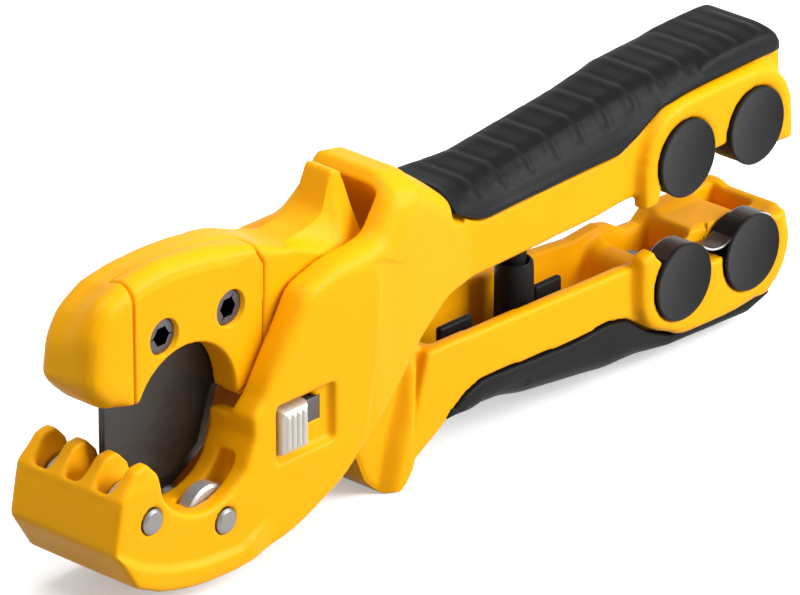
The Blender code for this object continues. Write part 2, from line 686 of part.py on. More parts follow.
def blade_cover():
    """Half shell screwed over the blade."""
    cover = pillow("blade_cover", lever_outline(), LEVER_HALF, lever_round, PARTS)
    keep = plate("cover_shape", cover_outline(), -CUT, -BLADE_HALF - GAP)
    combine(cover, keep, "INTERSECT")
    floor = -LEVER_HALF + SCREW_SUNK + SCREW_HEAD_H + GAP
    for place, centre in zip(("front", "rear"), SCREWS):
        cut(cover, rod("cover_hole_" + place, centre, SCREW_SHANK_R + PIN_GAP, -CUT, CUT))
        cut(cover, rod("cover_sink_" + place, centre, SCREW_HEAD_R + GAP, -CUT, floor))
    return finish(cover, "yellow_casting", YELLOW)


def cutting_blade():
    """Flat steel blade with a ground edge."""
    blade = plate("cutting_blade", blade_outline(), -BLADE_HALF, BLADE_HALF, PARTS)
    for place, centre in zip(("front", "rear"), SCREWS):
        cut(blade, rod("blade_hole_" + place, centre, SCREW_SHANK_R + PIN_GAP, -CUT, CUT))
    return finish(blade, "blade_steel", BLADE_STEEL)


def cover_screw(place, centre):
    """Socket head screw in the cover, its hexagon facing the near side."""
    head = -LEVER_HALF + SCREW_SUNK
    screw = turned("cover_screw_" + place, [(0.0, SCREW_HEAD_H), (SCREW_HEAD_R - 0.4, SCREW_HEAD_H),
                                            (SCREW_HEAD_R, SCREW_HEAD_H - 0.4), (SCREW_HEAD_R, 0.0),
                                            (SCREW_SHANK_R, 0.0), (SCREW_SHANK_R, -6.2), (0.0, -6.2)],
                   centre, head + SCREW_HEAD_H)
    socket = rod("hex_socket_" + place, centre, SCREW_HEX / math.sqrt(3), head - 2.0, head + 1.8, sides=6)
    cut(screw, socket)
    return finish(screw, "black_screw", BLACK_STEEL)


# ---------------------------------------------------------------- rollers, pins and springs

def handle_roller(level, place, centre, drum):
    """Flanged plastic roller at a handle end: a thin disc outside, a drum behind it."""
    face = DISC_FACE
    back = DISC_FACE - DISC_THICK
    profile = [(0.0, face), (DISC_R - 0.3, face), (DISC_R, face - 0.3), (DISC_R, back), (drum, back),
               (drum, DRUM_END + 0.4), (drum - 0.4, DRUM_END), (AXLE_R + PIN_GAP, DRUM_END),
               (AXLE_R + PIN_GAP, face - 2.4), (0.0, face - 2.4)]
    roller = turned("_".join((level, "roller", place)), profile, centre, 0.0, sides=48)
    return finish(roller, "roller_plastic", PLASTIC)


def roller_axle(level, place, centre):
    """Steel axle fixed in the handle under its roller."""
    inner = DISC_FACE - 2.4 - GAP
    profile = [(0.0, inner), (AXLE_R - 0.4, inner), (AXLE_R, inner - 0.4), (AXLE_R, AXLE_END),
               (0.0, AXLE_END)]
    axle = turned("_".join((level, "axle", place)), profile, centre, 0.0)
    return finish(axle, "steel", STEEL)


def jaw_pin(place, centre):
    """Pin through the jaw that its two rollers turn on."""
    end = FORK_HALF + JAW_PIN_PROUD
    profile = [(0.0, end), (JAW_PIN_R - 0.5, end), (JAW_PIN_R, end - 0.5), (JAW_PIN_R, -end + 0.5),
               (JAW_PIN_R - 0.5, -end), (0.0, -end)]
    return finish(turned("jaw_pin_" + place, profile, centre, 0.0), "steel", STEEL)


def jaw_roller(place, side, centre):
    """Steel roller that the pipe turns on."""
    middle = (RIDGE_OUTER + ROLLER_SLOT_END) / 2
    half = (ROLLER_SLOT_END - RIDGE_OUTER) / 2 - GAP
    bore = JAW_PIN_R + PIN_GAP
    rim = JAW_ROLLER_R[place]
    profile = [(bore, half), (rim - 0.5, half), (rim, half - 0.5), (rim, -half + 0.5), (rim - 0.5, -half),
               (bore, -half), (bore, half)]
    sign = -1 if side == "near" else 1
    name = "_".join(("jaw_roller", place, side))
    return finish(turned(name, profile, centre, sign * middle), "steel", STEEL)


def pivot_pin():
    """Main pivot pin, set from the far side."""
    end = FORK_HALF - 0.3
    profile = [(0.0, 12.0), (PIVOT_R - 0.5, 12.0), (PIVOT_R, 11.5), (PIVOT_R, -end + 0.5),
               (PIVOT_R - 0.5, -end), (0.0, -end)]
    return finish(turned("pivot_pin", profile, PIVOT, 0.0), "steel", STEEL)


def lock_slider():
    """Ribbed lock button with its stem in the slot of the near cheek."""
    x0, x1, z0, z1 = BUTTON
    back = -FORK_HALF + RECESS_DEPTH - GAP
    slider = block("lock_slider", (x0, x1), (-BUTTON_FACE + 1.2, back), (z0, z1), PARTS)
    soften(slider, 0.5, 2)
    pitch = (x1 - x0) / BUTTON_RIBS
    for i in range(BUTTON_RIBS):
        rib = block("button_rib_%d" % i, (x0 + pitch * i + 0.35, x0 + pitch * (i + 1) - 0.35),
                    (-BUTTON_FACE, -BUTTON_FACE + 3.0), (z0 + 0.8, z1 - 0.8))
        fuse(slider, soften(rib, 0.35, 1))
    stem = block("button_stem", (LOCK_SLOT[0] + GAP, LOCK_SLOT[0] + 3.3), (-BUTTON_FACE + 2.4, -SLOT_HALF - 0.3),
                 (LOCK_SLOT[2] + GAP, LOCK_SLOT[3] - GAP))
    fuse(slider, stem)
    return finish(slider, "button_metal", STEEL)


def upper_grip_round(x, z):
    """The back of the upper rubber is well rounded, its edge on the casting only a little."""
    if z < along(x, [(9.0, 20.6), (22.0, 12.5), (60.0, 12.5), (80.0, 15.2)]):
        return 0.5
    return along(x, [(10.0, 0.6), (22.0, 3.2), (38.0, UPPER_GRIP_ROUND), (70.0, UPPER_GRIP_ROUND),
                     (84.0, 4.8), (113.0, 4.2), (119.0, 0.7)])


def lower_grip_round(x, z):
    """The same under the lower handle, with a smaller rounding."""
    if z > along(x, [(18.0, -35.2), (30.0, -33.0), (62.0, -35.0), (80.0, -39.2), (112.0, -41.4)]):
        return 0.5
    return along(x, [(18.0, 0.5), (30.0, 3.2), (42.0, LOWER_GRIP_ROUND), (62.0, LOWER_GRIP_ROUND),
                     (77.0, 3.6), (87.0, 2.0), (112.0, 1.8), (118.0, 0.5)])


def grip(name, upper):
    """Rubber saddle over a handle, its sides a little proud of the casting."""
    depth = upper_grip_round if upper else lower_grip_round
    rubber = pillow(name, grip_outline(upper), GRIP_HALF, depth, PARTS, 4)
    core = grown(rounded(frame_outline() if upper else lower_handle_outline()), GAP)
    cut(rubber, plate(name + "_core", core, -CORE_HALF - GAP + 0.02, CORE_HALF + GAP - 0.02))
    end = max(corner[0] for corner in grip_outline(upper))
    cut(rubber, end_corner(name + "_corner", end + 0.17, GRIP_HALF + 0.13))
    return finish(rubber, "grip_rubber", RUBBER)


def leaf_strip():
    """Sprung steel strip that arches over both lower rollers."""
    (xa, za), (xb, zb) = LOWER_ROLLERS
    line = arc((xa, za), STRIP_R, 138, 38, 10)
    dip = ((xa + xb) / 2 + 0.4, -18.9)
    line += arc(dip, 5.6, 222, 318, 6)[1:-1]
    line += arc((xb, zb), STRIP_R, 142, 40, 10)
    back = []
    for i in range(len(line) - 1, -1, -1):
        before = Vector(line[max(0, i - 1)])
        after = Vector(line[min(len(line) - 1, i + 1)])
        run = (after - before).normalized()
        back.append((line[i][0] - run.y * STRIP_THICK, line[i][1] + run.x * STRIP_THICK))
    strip = plate("leaf_strip", line + back, -STRIP_NEAR, -STRIP_FAR, PARTS)
    return finish(strip, "steel", STEEL)


def spring_carrier():
    """Plastic insert in the lower channel: a base, two upright tabs and the spring sleeve."""
    body = block("spring_carrier", (24.5, 62.0), (-3.2, 3.2), (CARRIER_FLOOR, CARRIER_FLOOR + 2.0), PARTS)
    tabs = (block("tab_front", (26.0, 33.0), (-1.85, 1.85), (CARRIER_FLOOR + 1.0, -17.3)),
            block("tab_rear", (52.0, 60.4), (-1.85, 1.85), (CARRIER_FLOOR + 1.0, -18.6)))
    for tab in tabs:
        fuse(body, soften(tab, 0.5, 2))
    fuse(body, post("sleeve_wall", SLEEVE_X, 0.0, SLEEVE_R, CARRIER_FLOOR + 1.0, SLEEVE_TOP))
    cut(body, post("sleeve_bore", SLEEVE_X, 0.0, SLEEVE_BORE_R, CARRIER_FLOOR + 2.4, CUT))
    return finish(body, "carrier_plastic", PLASTIC)


def spring_plunger():
    """Plastic plunger fixed in the upper handle, its nose in the mouth of the sleeve."""
    body = post("spring_plunger", SLEEVE_X, 0.0, PLUNGER_R, PLUNGER_TIP, -8.0, PARTS)
    fuse(body, post("plunger_collar", SLEEVE_X, 0.0, 3.6, -11.9, -3.7))
    fuse(body, block("plunger_root", (SLEEVE_X - 1.9, SLEEVE_X + 1.9), (-1.9, 1.9), (-6.0, 0.6)))
    return finish(body, "carrier_plastic", PLASTIC)


def return_spring():
    """Coil spring between the sleeve floor and the plunger."""
    low = CARRIER_FLOOR + 2.4 + GAP + WIRE_R
    high = PLUNGER_TIP - GAP - WIRE_R
    steps = 12 * SPRING_TURNS
    data = bpy.data.curves.new("return_spring", "CURVE")
    data.dimensions = "3D"
    data.bevel_depth = WIRE_R * MM
    data.bevel_resolution = 1
    data.use_fill_caps = True
    coil = data.splines.new("POLY")
    coil.points.add(steps)
    for i, point in enumerate(coil.points):
        angle = 2 * math.pi * SPRING_TURNS * i / steps
        height = low + (high - low) * i / steps
        place = Vector((SPRING_R * math.cos(angle), SPRING_R * math.sin(angle), height - low)) * MM
        point.co = (*place, 1.0)
    curve = placed("return_spring_wire", data)
    curve.location = (SLEEVE_X * MM, 0.0, low * MM)
    return finish(solid(curve, "return_spring", PARTS), "steel", STEEL)


# ---------------------------------------------------------------- assembly

def assemble():
    """Build every sub-part and hang it on the body it moves with."""
    root = bpy.data.objects.new("tool_base", None)
    PARTS.objects.link(root)
    pivot = bpy.data.objects.new("lever_pivot", None)
    PARTS.objects.link(pivot)
    pivot.location = (PIVOT[0] * MM, 0.0, PIVOT[1] * MM)
    frame_casting()
    grip("upper_grip", True)
    pivot_pin()
    lock_slider()
    spring_plunger()
    return_spring()
    for place, centre in (("front", JAW_PIN_FRONT), ("rear", JAW_PIN_REAR)):
        jaw_pin(place, centre)
        for side in ("near", "far"):
            jaw_roller(place, side, centre)
    moving = [lever_casting(), blade_cover(), cutting_blade(), grip("lower_grip", False), leaf_strip(),
              spring_carrier()]
    moving += [cover_screw(place, centre) for place, centre in zip(("front", "rear"), SCREWS)]
    for place, upper, lower in zip(("front", "rear"), UPPER_ROLLERS, LOWER_ROLLERS):
        handle_roller("upper", place, upper, UPPER_DRUM_R)
        roller_axle("upper", place, upper)
        moving.append(handle_roller("lower", place, lower, LOWER_DRUM_R))
        moving.append(roller_axle("lower", place, lower))
    bpy.context.view_layer.update()
    for piece in moving:
        hold(piece, pivot)
    for piece in list(PARTS.objects) + list(TOOLS.objects):
        if piece.parent is None and piece is not root:
            hold(piece, root)
    wake()
    stand(root)


def wake():
    """Switch on every modifier, left off so far to keep the building quick."""
    for piece in bpy.data.objects:
        for step in piece.modifiers:
            step.show_viewport = True


def stand(root):
    """Set the tool down with the middle of its base at the origin."""
    bpy.context.view_layer.update()
    graph = bpy.context.evaluated_depsgraph_get()
    corners = []
    for piece in PARTS.objects:
        if piece.type == "MESH":
            seen = piece.evaluated_get(graph)
            corners += [seen.matrix_world @ vert.co for vert in seen.data.vertices]
    low = Vector([min(c[i] for c in corners) for i in range(3)])
    high = Vector([max(c[i] for c in corners) for i in range(3)])
    root.location = (-(low.x + high.x) / 2, -(low.y + high.y) / 2, -low.z)
    bpy.context.view_layer.update()


assemble()
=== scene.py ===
# %% [markdown]
# # A hand cutter for plastic pipe
# The tool is two castings in yellow paint that close like a pair of scissors. One casting is the
# ribbed jaw, the fork and the upper handle. The other carries the blade and runs on as the lower
# handle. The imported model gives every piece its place. This lesson gives each one the surface and
# the small shapes that the real tool has.

import json
import math

import bmesh
import bpy
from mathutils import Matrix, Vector


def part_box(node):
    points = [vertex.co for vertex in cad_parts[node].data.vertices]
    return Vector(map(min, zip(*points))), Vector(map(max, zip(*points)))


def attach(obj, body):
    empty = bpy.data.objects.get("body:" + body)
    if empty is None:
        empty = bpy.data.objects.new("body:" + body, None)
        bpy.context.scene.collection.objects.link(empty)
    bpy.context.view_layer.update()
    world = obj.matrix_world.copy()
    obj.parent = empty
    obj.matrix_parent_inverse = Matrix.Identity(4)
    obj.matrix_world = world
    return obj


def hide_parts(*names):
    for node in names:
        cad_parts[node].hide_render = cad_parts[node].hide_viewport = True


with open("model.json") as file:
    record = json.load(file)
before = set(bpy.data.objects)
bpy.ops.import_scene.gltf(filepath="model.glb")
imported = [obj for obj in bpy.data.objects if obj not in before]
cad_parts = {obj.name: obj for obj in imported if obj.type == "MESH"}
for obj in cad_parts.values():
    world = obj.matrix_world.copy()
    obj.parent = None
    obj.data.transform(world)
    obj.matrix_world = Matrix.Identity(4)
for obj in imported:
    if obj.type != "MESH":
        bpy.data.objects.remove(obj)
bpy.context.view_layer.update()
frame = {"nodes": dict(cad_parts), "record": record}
nodes = frame["nodes"]
record = frame["record"]
bodies = {piece: body for body, pieces in record["behaviour"]["bodies"].items() for piece in pieces}
slots = {part["node"]: part["material_slot"] for part in record["subparts"]}
print("pieces in the packed model:", len(nodes))

# %% [markdown]
# The drawing of the tool is in millimetres about the blade's middle plane, with the front jaw pin
# at x -70, z -23.9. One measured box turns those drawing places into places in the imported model.
# x runs from the jaw to the handle ends, y away from the side with the button, and z up.

# %% Places in millimetres
MM = 0.001
FRONT_PIN = (-70.0, -23.9)
REAR_PIN = (-49.7, -31.1)
low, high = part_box("jaw_pin_front")
SHIFT = (low + high) / 2 - Vector((FRONT_PIN[0], 0.0, FRONT_PIN[1])) * MM


def at(x, y, z):
    """A place on the drawing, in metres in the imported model."""
    return Vector((x, y, z)) * MM + SHIFT


print("drawing origin sits at", [round(v / MM, 2) for v in SHIFT], "mm")

# %% [markdown]
# Colours are written as the hex values that a paint card would give. Shaders work in linear light,
# so one function turns a hex value into linear numbers. A pattern's scale counts its cells in a
# metre, so a second function works it out from the size of one cell in millimetres.

# %% Colours, pattern scales and shader nodes


def colour(code):
    """A linear colour from an sRGB hex value."""
    values = [int(code[i:i + 2], 16) / 255 for i in (1, 3, 5)]
    return [v / 12.92 if v <= 0.04045 else ((v + 0.055) / 1.055) ** 2.4 for v in values] + [1.0]


def per_metre(size):
    """The scale of a pattern whose cells have a size in millimetres."""
    return 1.0 / (size * MM)


def node(tree, kind, settings=None, **links):
    """Add one node, set its values and join its inputs; a linked value is (node, output)."""
    made = tree.nodes.new(kind)
    for key, value in (settings or {}).items():
        if hasattr(made, key):
            setattr(made, key, value)
        else:
            made.inputs[key].default_value = value
    for key, (source, output) in links.items():
        tree.links.new(source.outputs[output], made.inputs[key.replace("_", " ")])
    return made


def finish_named(name):
    """A new material, its tree and its shader."""
    made = bpy.data.materials.new(name)
    made.use_nodes = True
    tree = made.node_tree
    return made, tree, tree.nodes["Principled BSDF"]


print("shaders work in linear light: mid grey is", round(colour("#808080")[0], 3))

# %% [markdown]
# ## Yellow paint on cast metal
# Both castings are pressure-cast metal with a baked powder coat. Powder flows as it melts, so the
# coat is even and satin, with a fine orange peel. A plain colour would look like plastic. A slow
# drift of tone, darker specks and the peel as a faint bump give it the grain of a real coat.

# %% Powder coat
paint, tree, shader = finish_named("powder_coat_on_casting")
place = node(tree, "ShaderNodeTexCoord")
drift = node(tree, "ShaderNodeTexNoise", {"Scale": per_metre(22.22), "Detail": 3.0},
             Vector=(place, "Object"))
tone = node(tree, "ShaderNodeMix", {"data_type": "RGBA", "A": colour("#f0a600"),
                                    "B": colour("#f5ae02")}, Factor=(drift, "Fac"))
speck = node(tree, "ShaderNodeTexNoise",
             {"Scale": per_metre(0.3846), "Detail": 4.0, "Roughness": 0.7},
             Vector=(place, "Object"))
dots = node(tree, "ShaderNodeMapRange", {"From Min": 0.62, "From Max": 0.75, "To Max": 0.35},
            Value=(speck, "Fac"))
dusty = node(tree, "ShaderNodeMix", {"data_type": "RGBA", "B": colour("#c98200")},
             Factor=(dots, "Result"), A=(tone, "Result"))
tree.links.new(dusty.outputs["Result"], shader.inputs["Base Color"])
peel = node(tree, "ShaderNodeTexNoise", {"Scale": per_metre(0.7692), "Detail": 3.0},
            Vector=(place, "Object"))
bump = node(tree, "ShaderNodeBump", {"Strength": 0.12, "Distance": 0.2 * MM}, Height=(peel, "Fac"))
tree.links.new(bump.outputs["Normal"], shader.inputs["Normal"])
gloss = node(tree, "ShaderNodeMapRange", {"To Min": 0.38, "To Max": 0.5}, Value=(drift, "Fac"))
tree.links.new(gloss.outputs["Result"], shader.inputs["Roughness"])
shader.inputs["Specular IOR Level"].default_value = 0.12
print("made", paint.name)

# %% [markdown]
# ## Rubber
# The handle backs are soft rubber moulded over the metal. The mould was etched, so the skin is a
# dark neutral grey with a leathery grain that spreads the light. The real grain is finer than a
# render shows and is drawn a little coarser here.

# %% Rubber
rubber, tree, shader = finish_named("moulded_rubber")
place = node(tree, "ShaderNodeTexCoord")
grain = node(tree, "ShaderNodeTexNoise", {"Scale": per_metre(0.6667), "Detail": 4.0},
             Vector=(place, "Object"))
bump = node(tree, "ShaderNodeBump", {"Strength": 0.25, "Distance": 0.2 * MM},
            Height=(grain, "Fac"))
tree.links.new(bump.outputs["Normal"], shader.inputs["Normal"])
cloud = node(tree, "ShaderNodeTexNoise", {"Scale": per_metre(8.333), "Detail": 3.0},
             Vector=(place, "Object"))
tone = node(tree, "ShaderNodeMix", {"data_type": "RGBA", "A": colour("#0b0c0d"),
                                    "B": colour("#131415")}, Factor=(cloud, "Fac"))
tree.links.new(tone.outputs["Result"], shader.inputs["Base Color"])
gloss = node(tree, "ShaderNodeMapRange", {"To Min": 0.4, "To Max": 0.52}, Value=(grain, "Fac"))
tree.links.new(gloss.outputs["Result"], shader.inputs["Roughness"])
shader.inputs["Specular IOR Level"].default_value = 0.1
print("made", rubber.name)

# %% [markdown]
# ## Plastic
# The handle discs are moulded polyamide, a charcoal plastic that is a little glossier than the
# rubber. Molten plastic leaves faint flow marks, so one twisted noise drives tone, shine and bump
# together. The spring holder is the same plastic with less shine, which darkens it as painted shade.

# %% Plastic
plastic, tree, shader = finish_named("moulded_polyamide")
place = node(tree, "ShaderNodeTexCoord")
flow = node(tree, "ShaderNodeTexNoise",
            {"Scale": per_metre(2.857), "Detail": 5.0, "Distortion": 0.6},
            Vector=(place, "Object"))
tone = node(tree, "ShaderNodeMix", {"data_type": "RGBA", "A": colour("#19191a"),
                                    "B": colour("#232324")}, Factor=(flow, "Fac"))
tree.links.new(tone.outputs["Result"], shader.inputs["Base Color"])
gloss = node(tree, "ShaderNodeMapRange", {"To Min": 0.3, "To Max": 0.5}, Value=(flow, "Fac"))
tree.links.new(gloss.outputs["Result"], shader.inputs["Roughness"])
bump = node(tree, "ShaderNodeBump", {"Strength": 0.06, "Distance": 0.2 * MM}, Height=(flow, "Fac"))
tree.links.new(bump.outputs["Normal"], shader.inputs["Normal"])
shader.inputs["Specular IOR Level"].default_value = 0.1

# A copy of the plastic with less shine darkens the spring holder and plunger as painted shade.
shade_dulled_plastic = plastic.copy()
shade_dulled_plastic.name = "shade_dulled_polyamide"
dull = shade_dulled_plastic.node_tree.nodes["Principled BSDF"]
dull.inputs["Specular IOR Level"].default_value = 0.06
print("made", plastic.name, "and", shade_dulled_plastic.name)

# %% [markdown]
# ## Metals
# Every metal piece was turned, ground, rolled or tumbled, and each way leaves its own fine marks.
# One function gives a noise a size in millimetres along x, y and z, so that marks can be long one
# way and fine the other, and lets it change tone, shine and a very small bump.

# %% Metals
GLOSS_DRIFT = 0.08


def metal(name, dark, light, metallic, rough, marks, depth):
    """A worked metal; marks gives the size of its fine marks along x, y and z."""
    made, tree, shader = finish_named(name)
    place = node(tree, "ShaderNodeTexCoord")
    pulled = node(tree, "ShaderNodeMapping", {"Scale": [per_metre(size) for size in marks]},
                  Vector=(place, "Object"))
    worn = node(tree, "ShaderNodeTexNoise", {"Scale": 1.0, "Detail": 4.0},
                Vector=(pulled, "Vector"))
    tone = node(tree, "ShaderNodeMix", {"data_type": "RGBA", "A": colour(dark),
                                        "B": colour(light)}, Factor=(worn, "Fac"))
    tree.links.new(tone.outputs["Result"], shader.inputs["Base Color"])
    gloss = node(tree, "ShaderNodeMapRange", {"To Min": rough - GLOSS_DRIFT,
                                              "To Max": rough + GLOSS_DRIFT}, Value=(worn, "Fac"))
    tree.links.new(gloss.outputs["Result"], shader.inputs["Roughness"])
    bump = node(tree, "ShaderNodeBump", {"Strength": depth, "Distance": 0.1 * MM},
                Height=(worn, "Fac"))
    tree.links.new(bump.outputs["Normal"], shader.inputs["Normal"])
    shader.inputs["Metallic"].default_value = metallic
    return made


# Drawn and turned steel reads as mid grey with fine marks along the axle.
steel = metal("turned_steel", "#737374", "#878786", 1.0, 0.42, (0.3333, 3.333, 0.3333), 0.1)
# Ground rollers are paler than the pins.
roller_steel = metal("ground_roller_steel", "#b6b6b7", "#cecece", 0.6, 0.36,
                     (0.3333, 3.333, 0.3333), 0.1)
# Rolled spring steel is dark, with a tight shine along the strip.
spring_steel = metal("rolled_spring_steel", "#2e2f31", "#4a4b4e", 0.35, 0.3,
                     (5.0, 0.4167, 5.0), 0.06)
# Tumbled zinc is pale with a soft shine.
button_metal = metal("tumbled_zinc", "#a9a59e", "#bcb8b0", 0.7, 0.48, (0.4, 0.4, 3.333), 0.1)
# A dark low-friction coat on steel ground along its length looks smooth and smoky.
blade_steel = metal("coated_ground_steel", "#2a2a29", "#393837", 0.7, 0.36,
                    (8.333, 1.667, 0.4167), 0.05)
# Black oxide on steel keeps a cool brownish grey.
black_screw = metal("black_oxide_steel", "#454247", "#5a565b", 0.6, 0.42,
                    (0.5556, 0.5556, 0.5556), 0.12)
print("made", ", ".join(made.name for made in (steel, roller_steel, spring_steel, button_metal,
                                               blade_steel, black_screw)))

# %% [markdown]
# The pivot pin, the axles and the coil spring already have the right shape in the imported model.
# They stay, and only their finish changes. All other pieces are modelled again below.

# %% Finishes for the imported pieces
FINISHES = {"yellow_casting": paint, "grip_rubber": rubber, "roller_plastic": plastic,
            "carrier_plastic": shade_dulled_plastic, "steel": steel, "button_metal": button_metal,
            "blade_steel": blade_steel, "black_screw": black_screw}
for name, piece in nodes.items():
    piece.data.materials.clear()
    piece.data.materials.append(FINISHES[slots[name]])
print("finishes given to", len(nodes), "pieces")

# %% [markdown]
# ## Tools: meshes and pieces
# A new piece is built in a bmesh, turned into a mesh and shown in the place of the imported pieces
# that it stands for, on the same moving body.

# %% Meshes and pieces


def finished(shape, name):
    """The mesh of a bmesh that is done."""
    mesh = bpy.data.meshes.new(name)
    shape.to_mesh(mesh)
    shape.free()
    return mesh


def shown(name, data):
    """A new object in the scene: a mesh, a lamp or a camera."""
    made = bpy.data.objects.new(name, data)
    bpy.context.scene.collection.objects.link(made)
    return made


def put(name, mesh, stands_for, finish, crisp=None):
    """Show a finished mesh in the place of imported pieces; edges past the angle crisp stay sharp."""
    made = shown(name, mesh)
    mesh.materials.clear()
    mesh.materials.append(finish)
    for face in mesh.polygons:
        face.use_smooth = True
    if crisp:
        mesh.set_sharp_from_angle(angle=math.radians(crisp))
    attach(made, bodies[stands_for[0]])
    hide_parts(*stands_for)
    return made


def baked(holder):
    """The mesh that an object's modifiers give."""
    graph = bpy.context.evaluated_depsgraph_get()
    mesh = bpy.data.meshes.new_from_object(holder.evaluated_get(graph))
    bpy.data.objects.remove(holder, do_unlink=True)
    return mesh


def joined(*meshes):
    """Several meshes as one."""
    shape = bmesh.new()
    for mesh in meshes:
        shape.from_mesh(mesh)
    return finished(shape, "joined")


print("tools for meshes ready")

# %% [markdown]
# ## Tools: castings that flow
# A die casting has no sharp edges: metal and paint draw every corner into a small soft round. One
# way is to bevel each edge, but cuts meet at odd angles here and bevels would collide. So the
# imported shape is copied, rebuilt on an even grid and relaxed a little. Closed shapes that overlap
# it melt into it on the grid, and clean cuts come last, so that they stay crisp.

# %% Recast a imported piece
SAME_PLACE = 0.001 * MM


def merged_copy(name, extra=()):
    """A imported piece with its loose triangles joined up, and closed shapes laid into it."""
    shape = bmesh.new()
    shape.from_mesh(nodes[name].data)
    bmesh.ops.remove_doubles(shape, verts=shape.verts, dist=SAME_PLACE)
    for more in extra:
        shape.from_mesh(more)
    return finished(shape, name + "_shape")


def recast(name, grid, rounds, extra=(), cuts=()):
    """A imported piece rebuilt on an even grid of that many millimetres, relaxed, then cut."""
    holder = shown(name + "_grid", merged_copy(name, extra))
    remesh = holder.modifiers.new("even_grid", "REMESH")
    remesh.mode = "VOXEL"
    remesh.voxel_size = grid * MM
    relax = holder.modifiers.new("relaxed", "SMOOTH")
    relax.factor = 0.5
    relax.iterations = rounds
    cutters = []
    for mesh in cuts:
        cutter = shown("cutter", mesh)
        cutter.hide_render = True
        knife = holder.modifiers.new("clean_cut", "BOOLEAN")
        knife.operation = "DIFFERENCE"
        knife.object = cutter
        cutters.append(cutter)
    mesh = baked(holder)
    for cutter in cutters:
        bpy.data.objects.remove(cutter, do_unlink=True)
    return mesh


print("recast ready")

# %% [markdown]
# ## Tools: pushing clay
# The recast shape is fine enough to be pushed like clay. A small rule says how far each point
# moves. Rules are written with soft steps, so that no ridge shows where a push starts, and with
# numbers read off between stations along the tool.

# %% Soft steps and pushes


def along(value, stations):
    """A number read off between stations (place, number)."""
    if value <= stations[0][0]:
        return stations[0][1]
    for (a, one), (b, two) in zip(stations, stations[1:]):
        if value <= b:
            return one + (two - one) * (value - a) / (b - a)
    return stations[-1][1]


def step(value, start, end):
    """A soft step that is 0 at start and 1 at end; it falls where end is the smaller one."""
    part = min(max((value - start) / (end - start), 0.0), 1.0)
    return part * part * (3.0 - 2.0 * part)


def sculpt(mesh, move):
    """Move every point; move gets x, y, z on the drawing and gives the new x, y, z."""
    for point in mesh.vertices:
        point.co = at(*move(*((point.co - SHIFT) / MM)))
    mesh.update()
    return mesh


def emboss(mesh, height):
    """Push the points of a mesh out along the surface by a height in millimetres."""
    pushes = [point.normal * (height(*((point.co - SHIFT) / MM)) * MM) for point in mesh.vertices]
    for point, push in zip(mesh.vertices, pushes):
        point.co += push
    mesh.update()
    return mesh


print("half way up a soft step:", step(0.5, 0.0, 1.0))

# %% [markdown]
# ## Tools: closed shapes
# Most pieces start from three closed shapes. A box has rounded edges. Rings are circles joined one
# after the other, as a lathe would leave them. A slab is an outline with a thickness.

# %% Rounded box


def box(x, y, z, edge=0.0, steps=3):
    """A closed block between pairs of places in millimetres, with rounded edges."""
    shape = bmesh.new()
    bmesh.ops.create_cube(shape, size=1.0)
    size = [(pair[1] - pair[0]) * MM for pair in (x, y, z)]
    bmesh.ops.scale(shape, vec=size, verts=shape.verts)
    middle = at(*[sum(pair) / 2 for pair in (x, y, z)])
    bmesh.ops.translate(shape, vec=middle, verts=shape.verts)
    if edge:
        bmesh.ops.bevel(shape, geom=shape.edges[:], offset=edge * MM, segments=steps, profile=0.5,
                        affect="EDGES", material=-1)
    return finished(shape, "box")


print("a rounded box has", len(box((0, 1), (0, 1), (0, 1), 0.2).polygons), "faces")

# %% Turned rings


def rings(centre, levels, steps=48, upright=False):
    """A closed turned shape of rings (radius, depth); a radius may be a function of the angle."""
    shape = bmesh.new()
    x, z = centre
    loops = []
    for radius, depth in levels:
        made = bmesh.ops.create_circle(shape, cap_ends=False, segments=steps, radius=1.0)["verts"]
        for vert in made:
            angle = math.atan2(vert.co.y, vert.co.x)
            reach = radius(angle) if callable(radius) else radius
            across, up = reach * math.cos(angle), reach * math.sin(angle)
            vert.co = at(x + across, -up, depth) if upright else at(x + across, depth, z + up)
        # A dict drops the doubles and, unlike a set, keeps the same order in every run.
        loops.append(list(dict.fromkeys(edge for vert in made for edge in vert.link_edges)))
    for one, two in zip(loops, loops[1:]):
        bmesh.ops.bridge_loops(shape, edges=one + two)
    for loop in (loops[0], loops[-1]):
        bmesh.ops.edgeloop_fill(shape, edges=loop)
    bmesh.ops.recalc_face_normals(shape, faces=shape.faces)
    return finished(shape, "rings")


print("a turned cylinder has", len(rings((0, 0), [(1.0, 0.0), (1.0, 2.0)]).polygons), "faces")

# %% Slab
# An edge whose ends are closer than this in y runs round a rim; the others cross the plate.
RIM_LEVEL = 2.0 * MM
# The near side has its stated place at this x, and leans from there.
SLAB_ROOT = 9.0


def slab(profile, near, far, edge, above, lean=0.0, steps=5):
    """A plate with an outline in x and z and round rims above a height; its near side may lean."""
    shape = bmesh.new()
    side = shape.faces.new([shape.verts.new(at(x, far, z)) for x, z in profile])
    made = bmesh.ops.extrude_face_region(shape, geom=[side])["geom"]
    for vert in made:
        if isinstance(vert, bmesh.types.BMVert):
            x = (vert.co.x - SHIFT.x) / MM
            vert.co.y = SHIFT.y + (near + (x - SLAB_ROOT) * lean) * MM
    bmesh.ops.recalc_face_normals(shape, faces=shape.faces)
    rims = [e for e in shape.edges if abs(e.verts[0].co.y - e.verts[1].co.y) < RIM_LEVEL
            and min(v.co.z for v in e.verts) > at(0, 0, above).z]
    bmesh.ops.bevel(shape, geom=rims, offset=edge * MM, segments=steps, profile=0.5,
                    affect="EDGES", material=-1, clamp_overlap=True)
    return finished(shape, "slab")


print("box, rings and slab ready")

# %% [markdown]
# ## Panels and shoulder
# Two features are shared. On both castings, raised panels stand proud round the handle discs and
# close in on them. On the hood and on the upper rubber, the shoulder on the near side falls away
# in a curve that grows steeper toward the side. Each is one small rule that several pieces use.

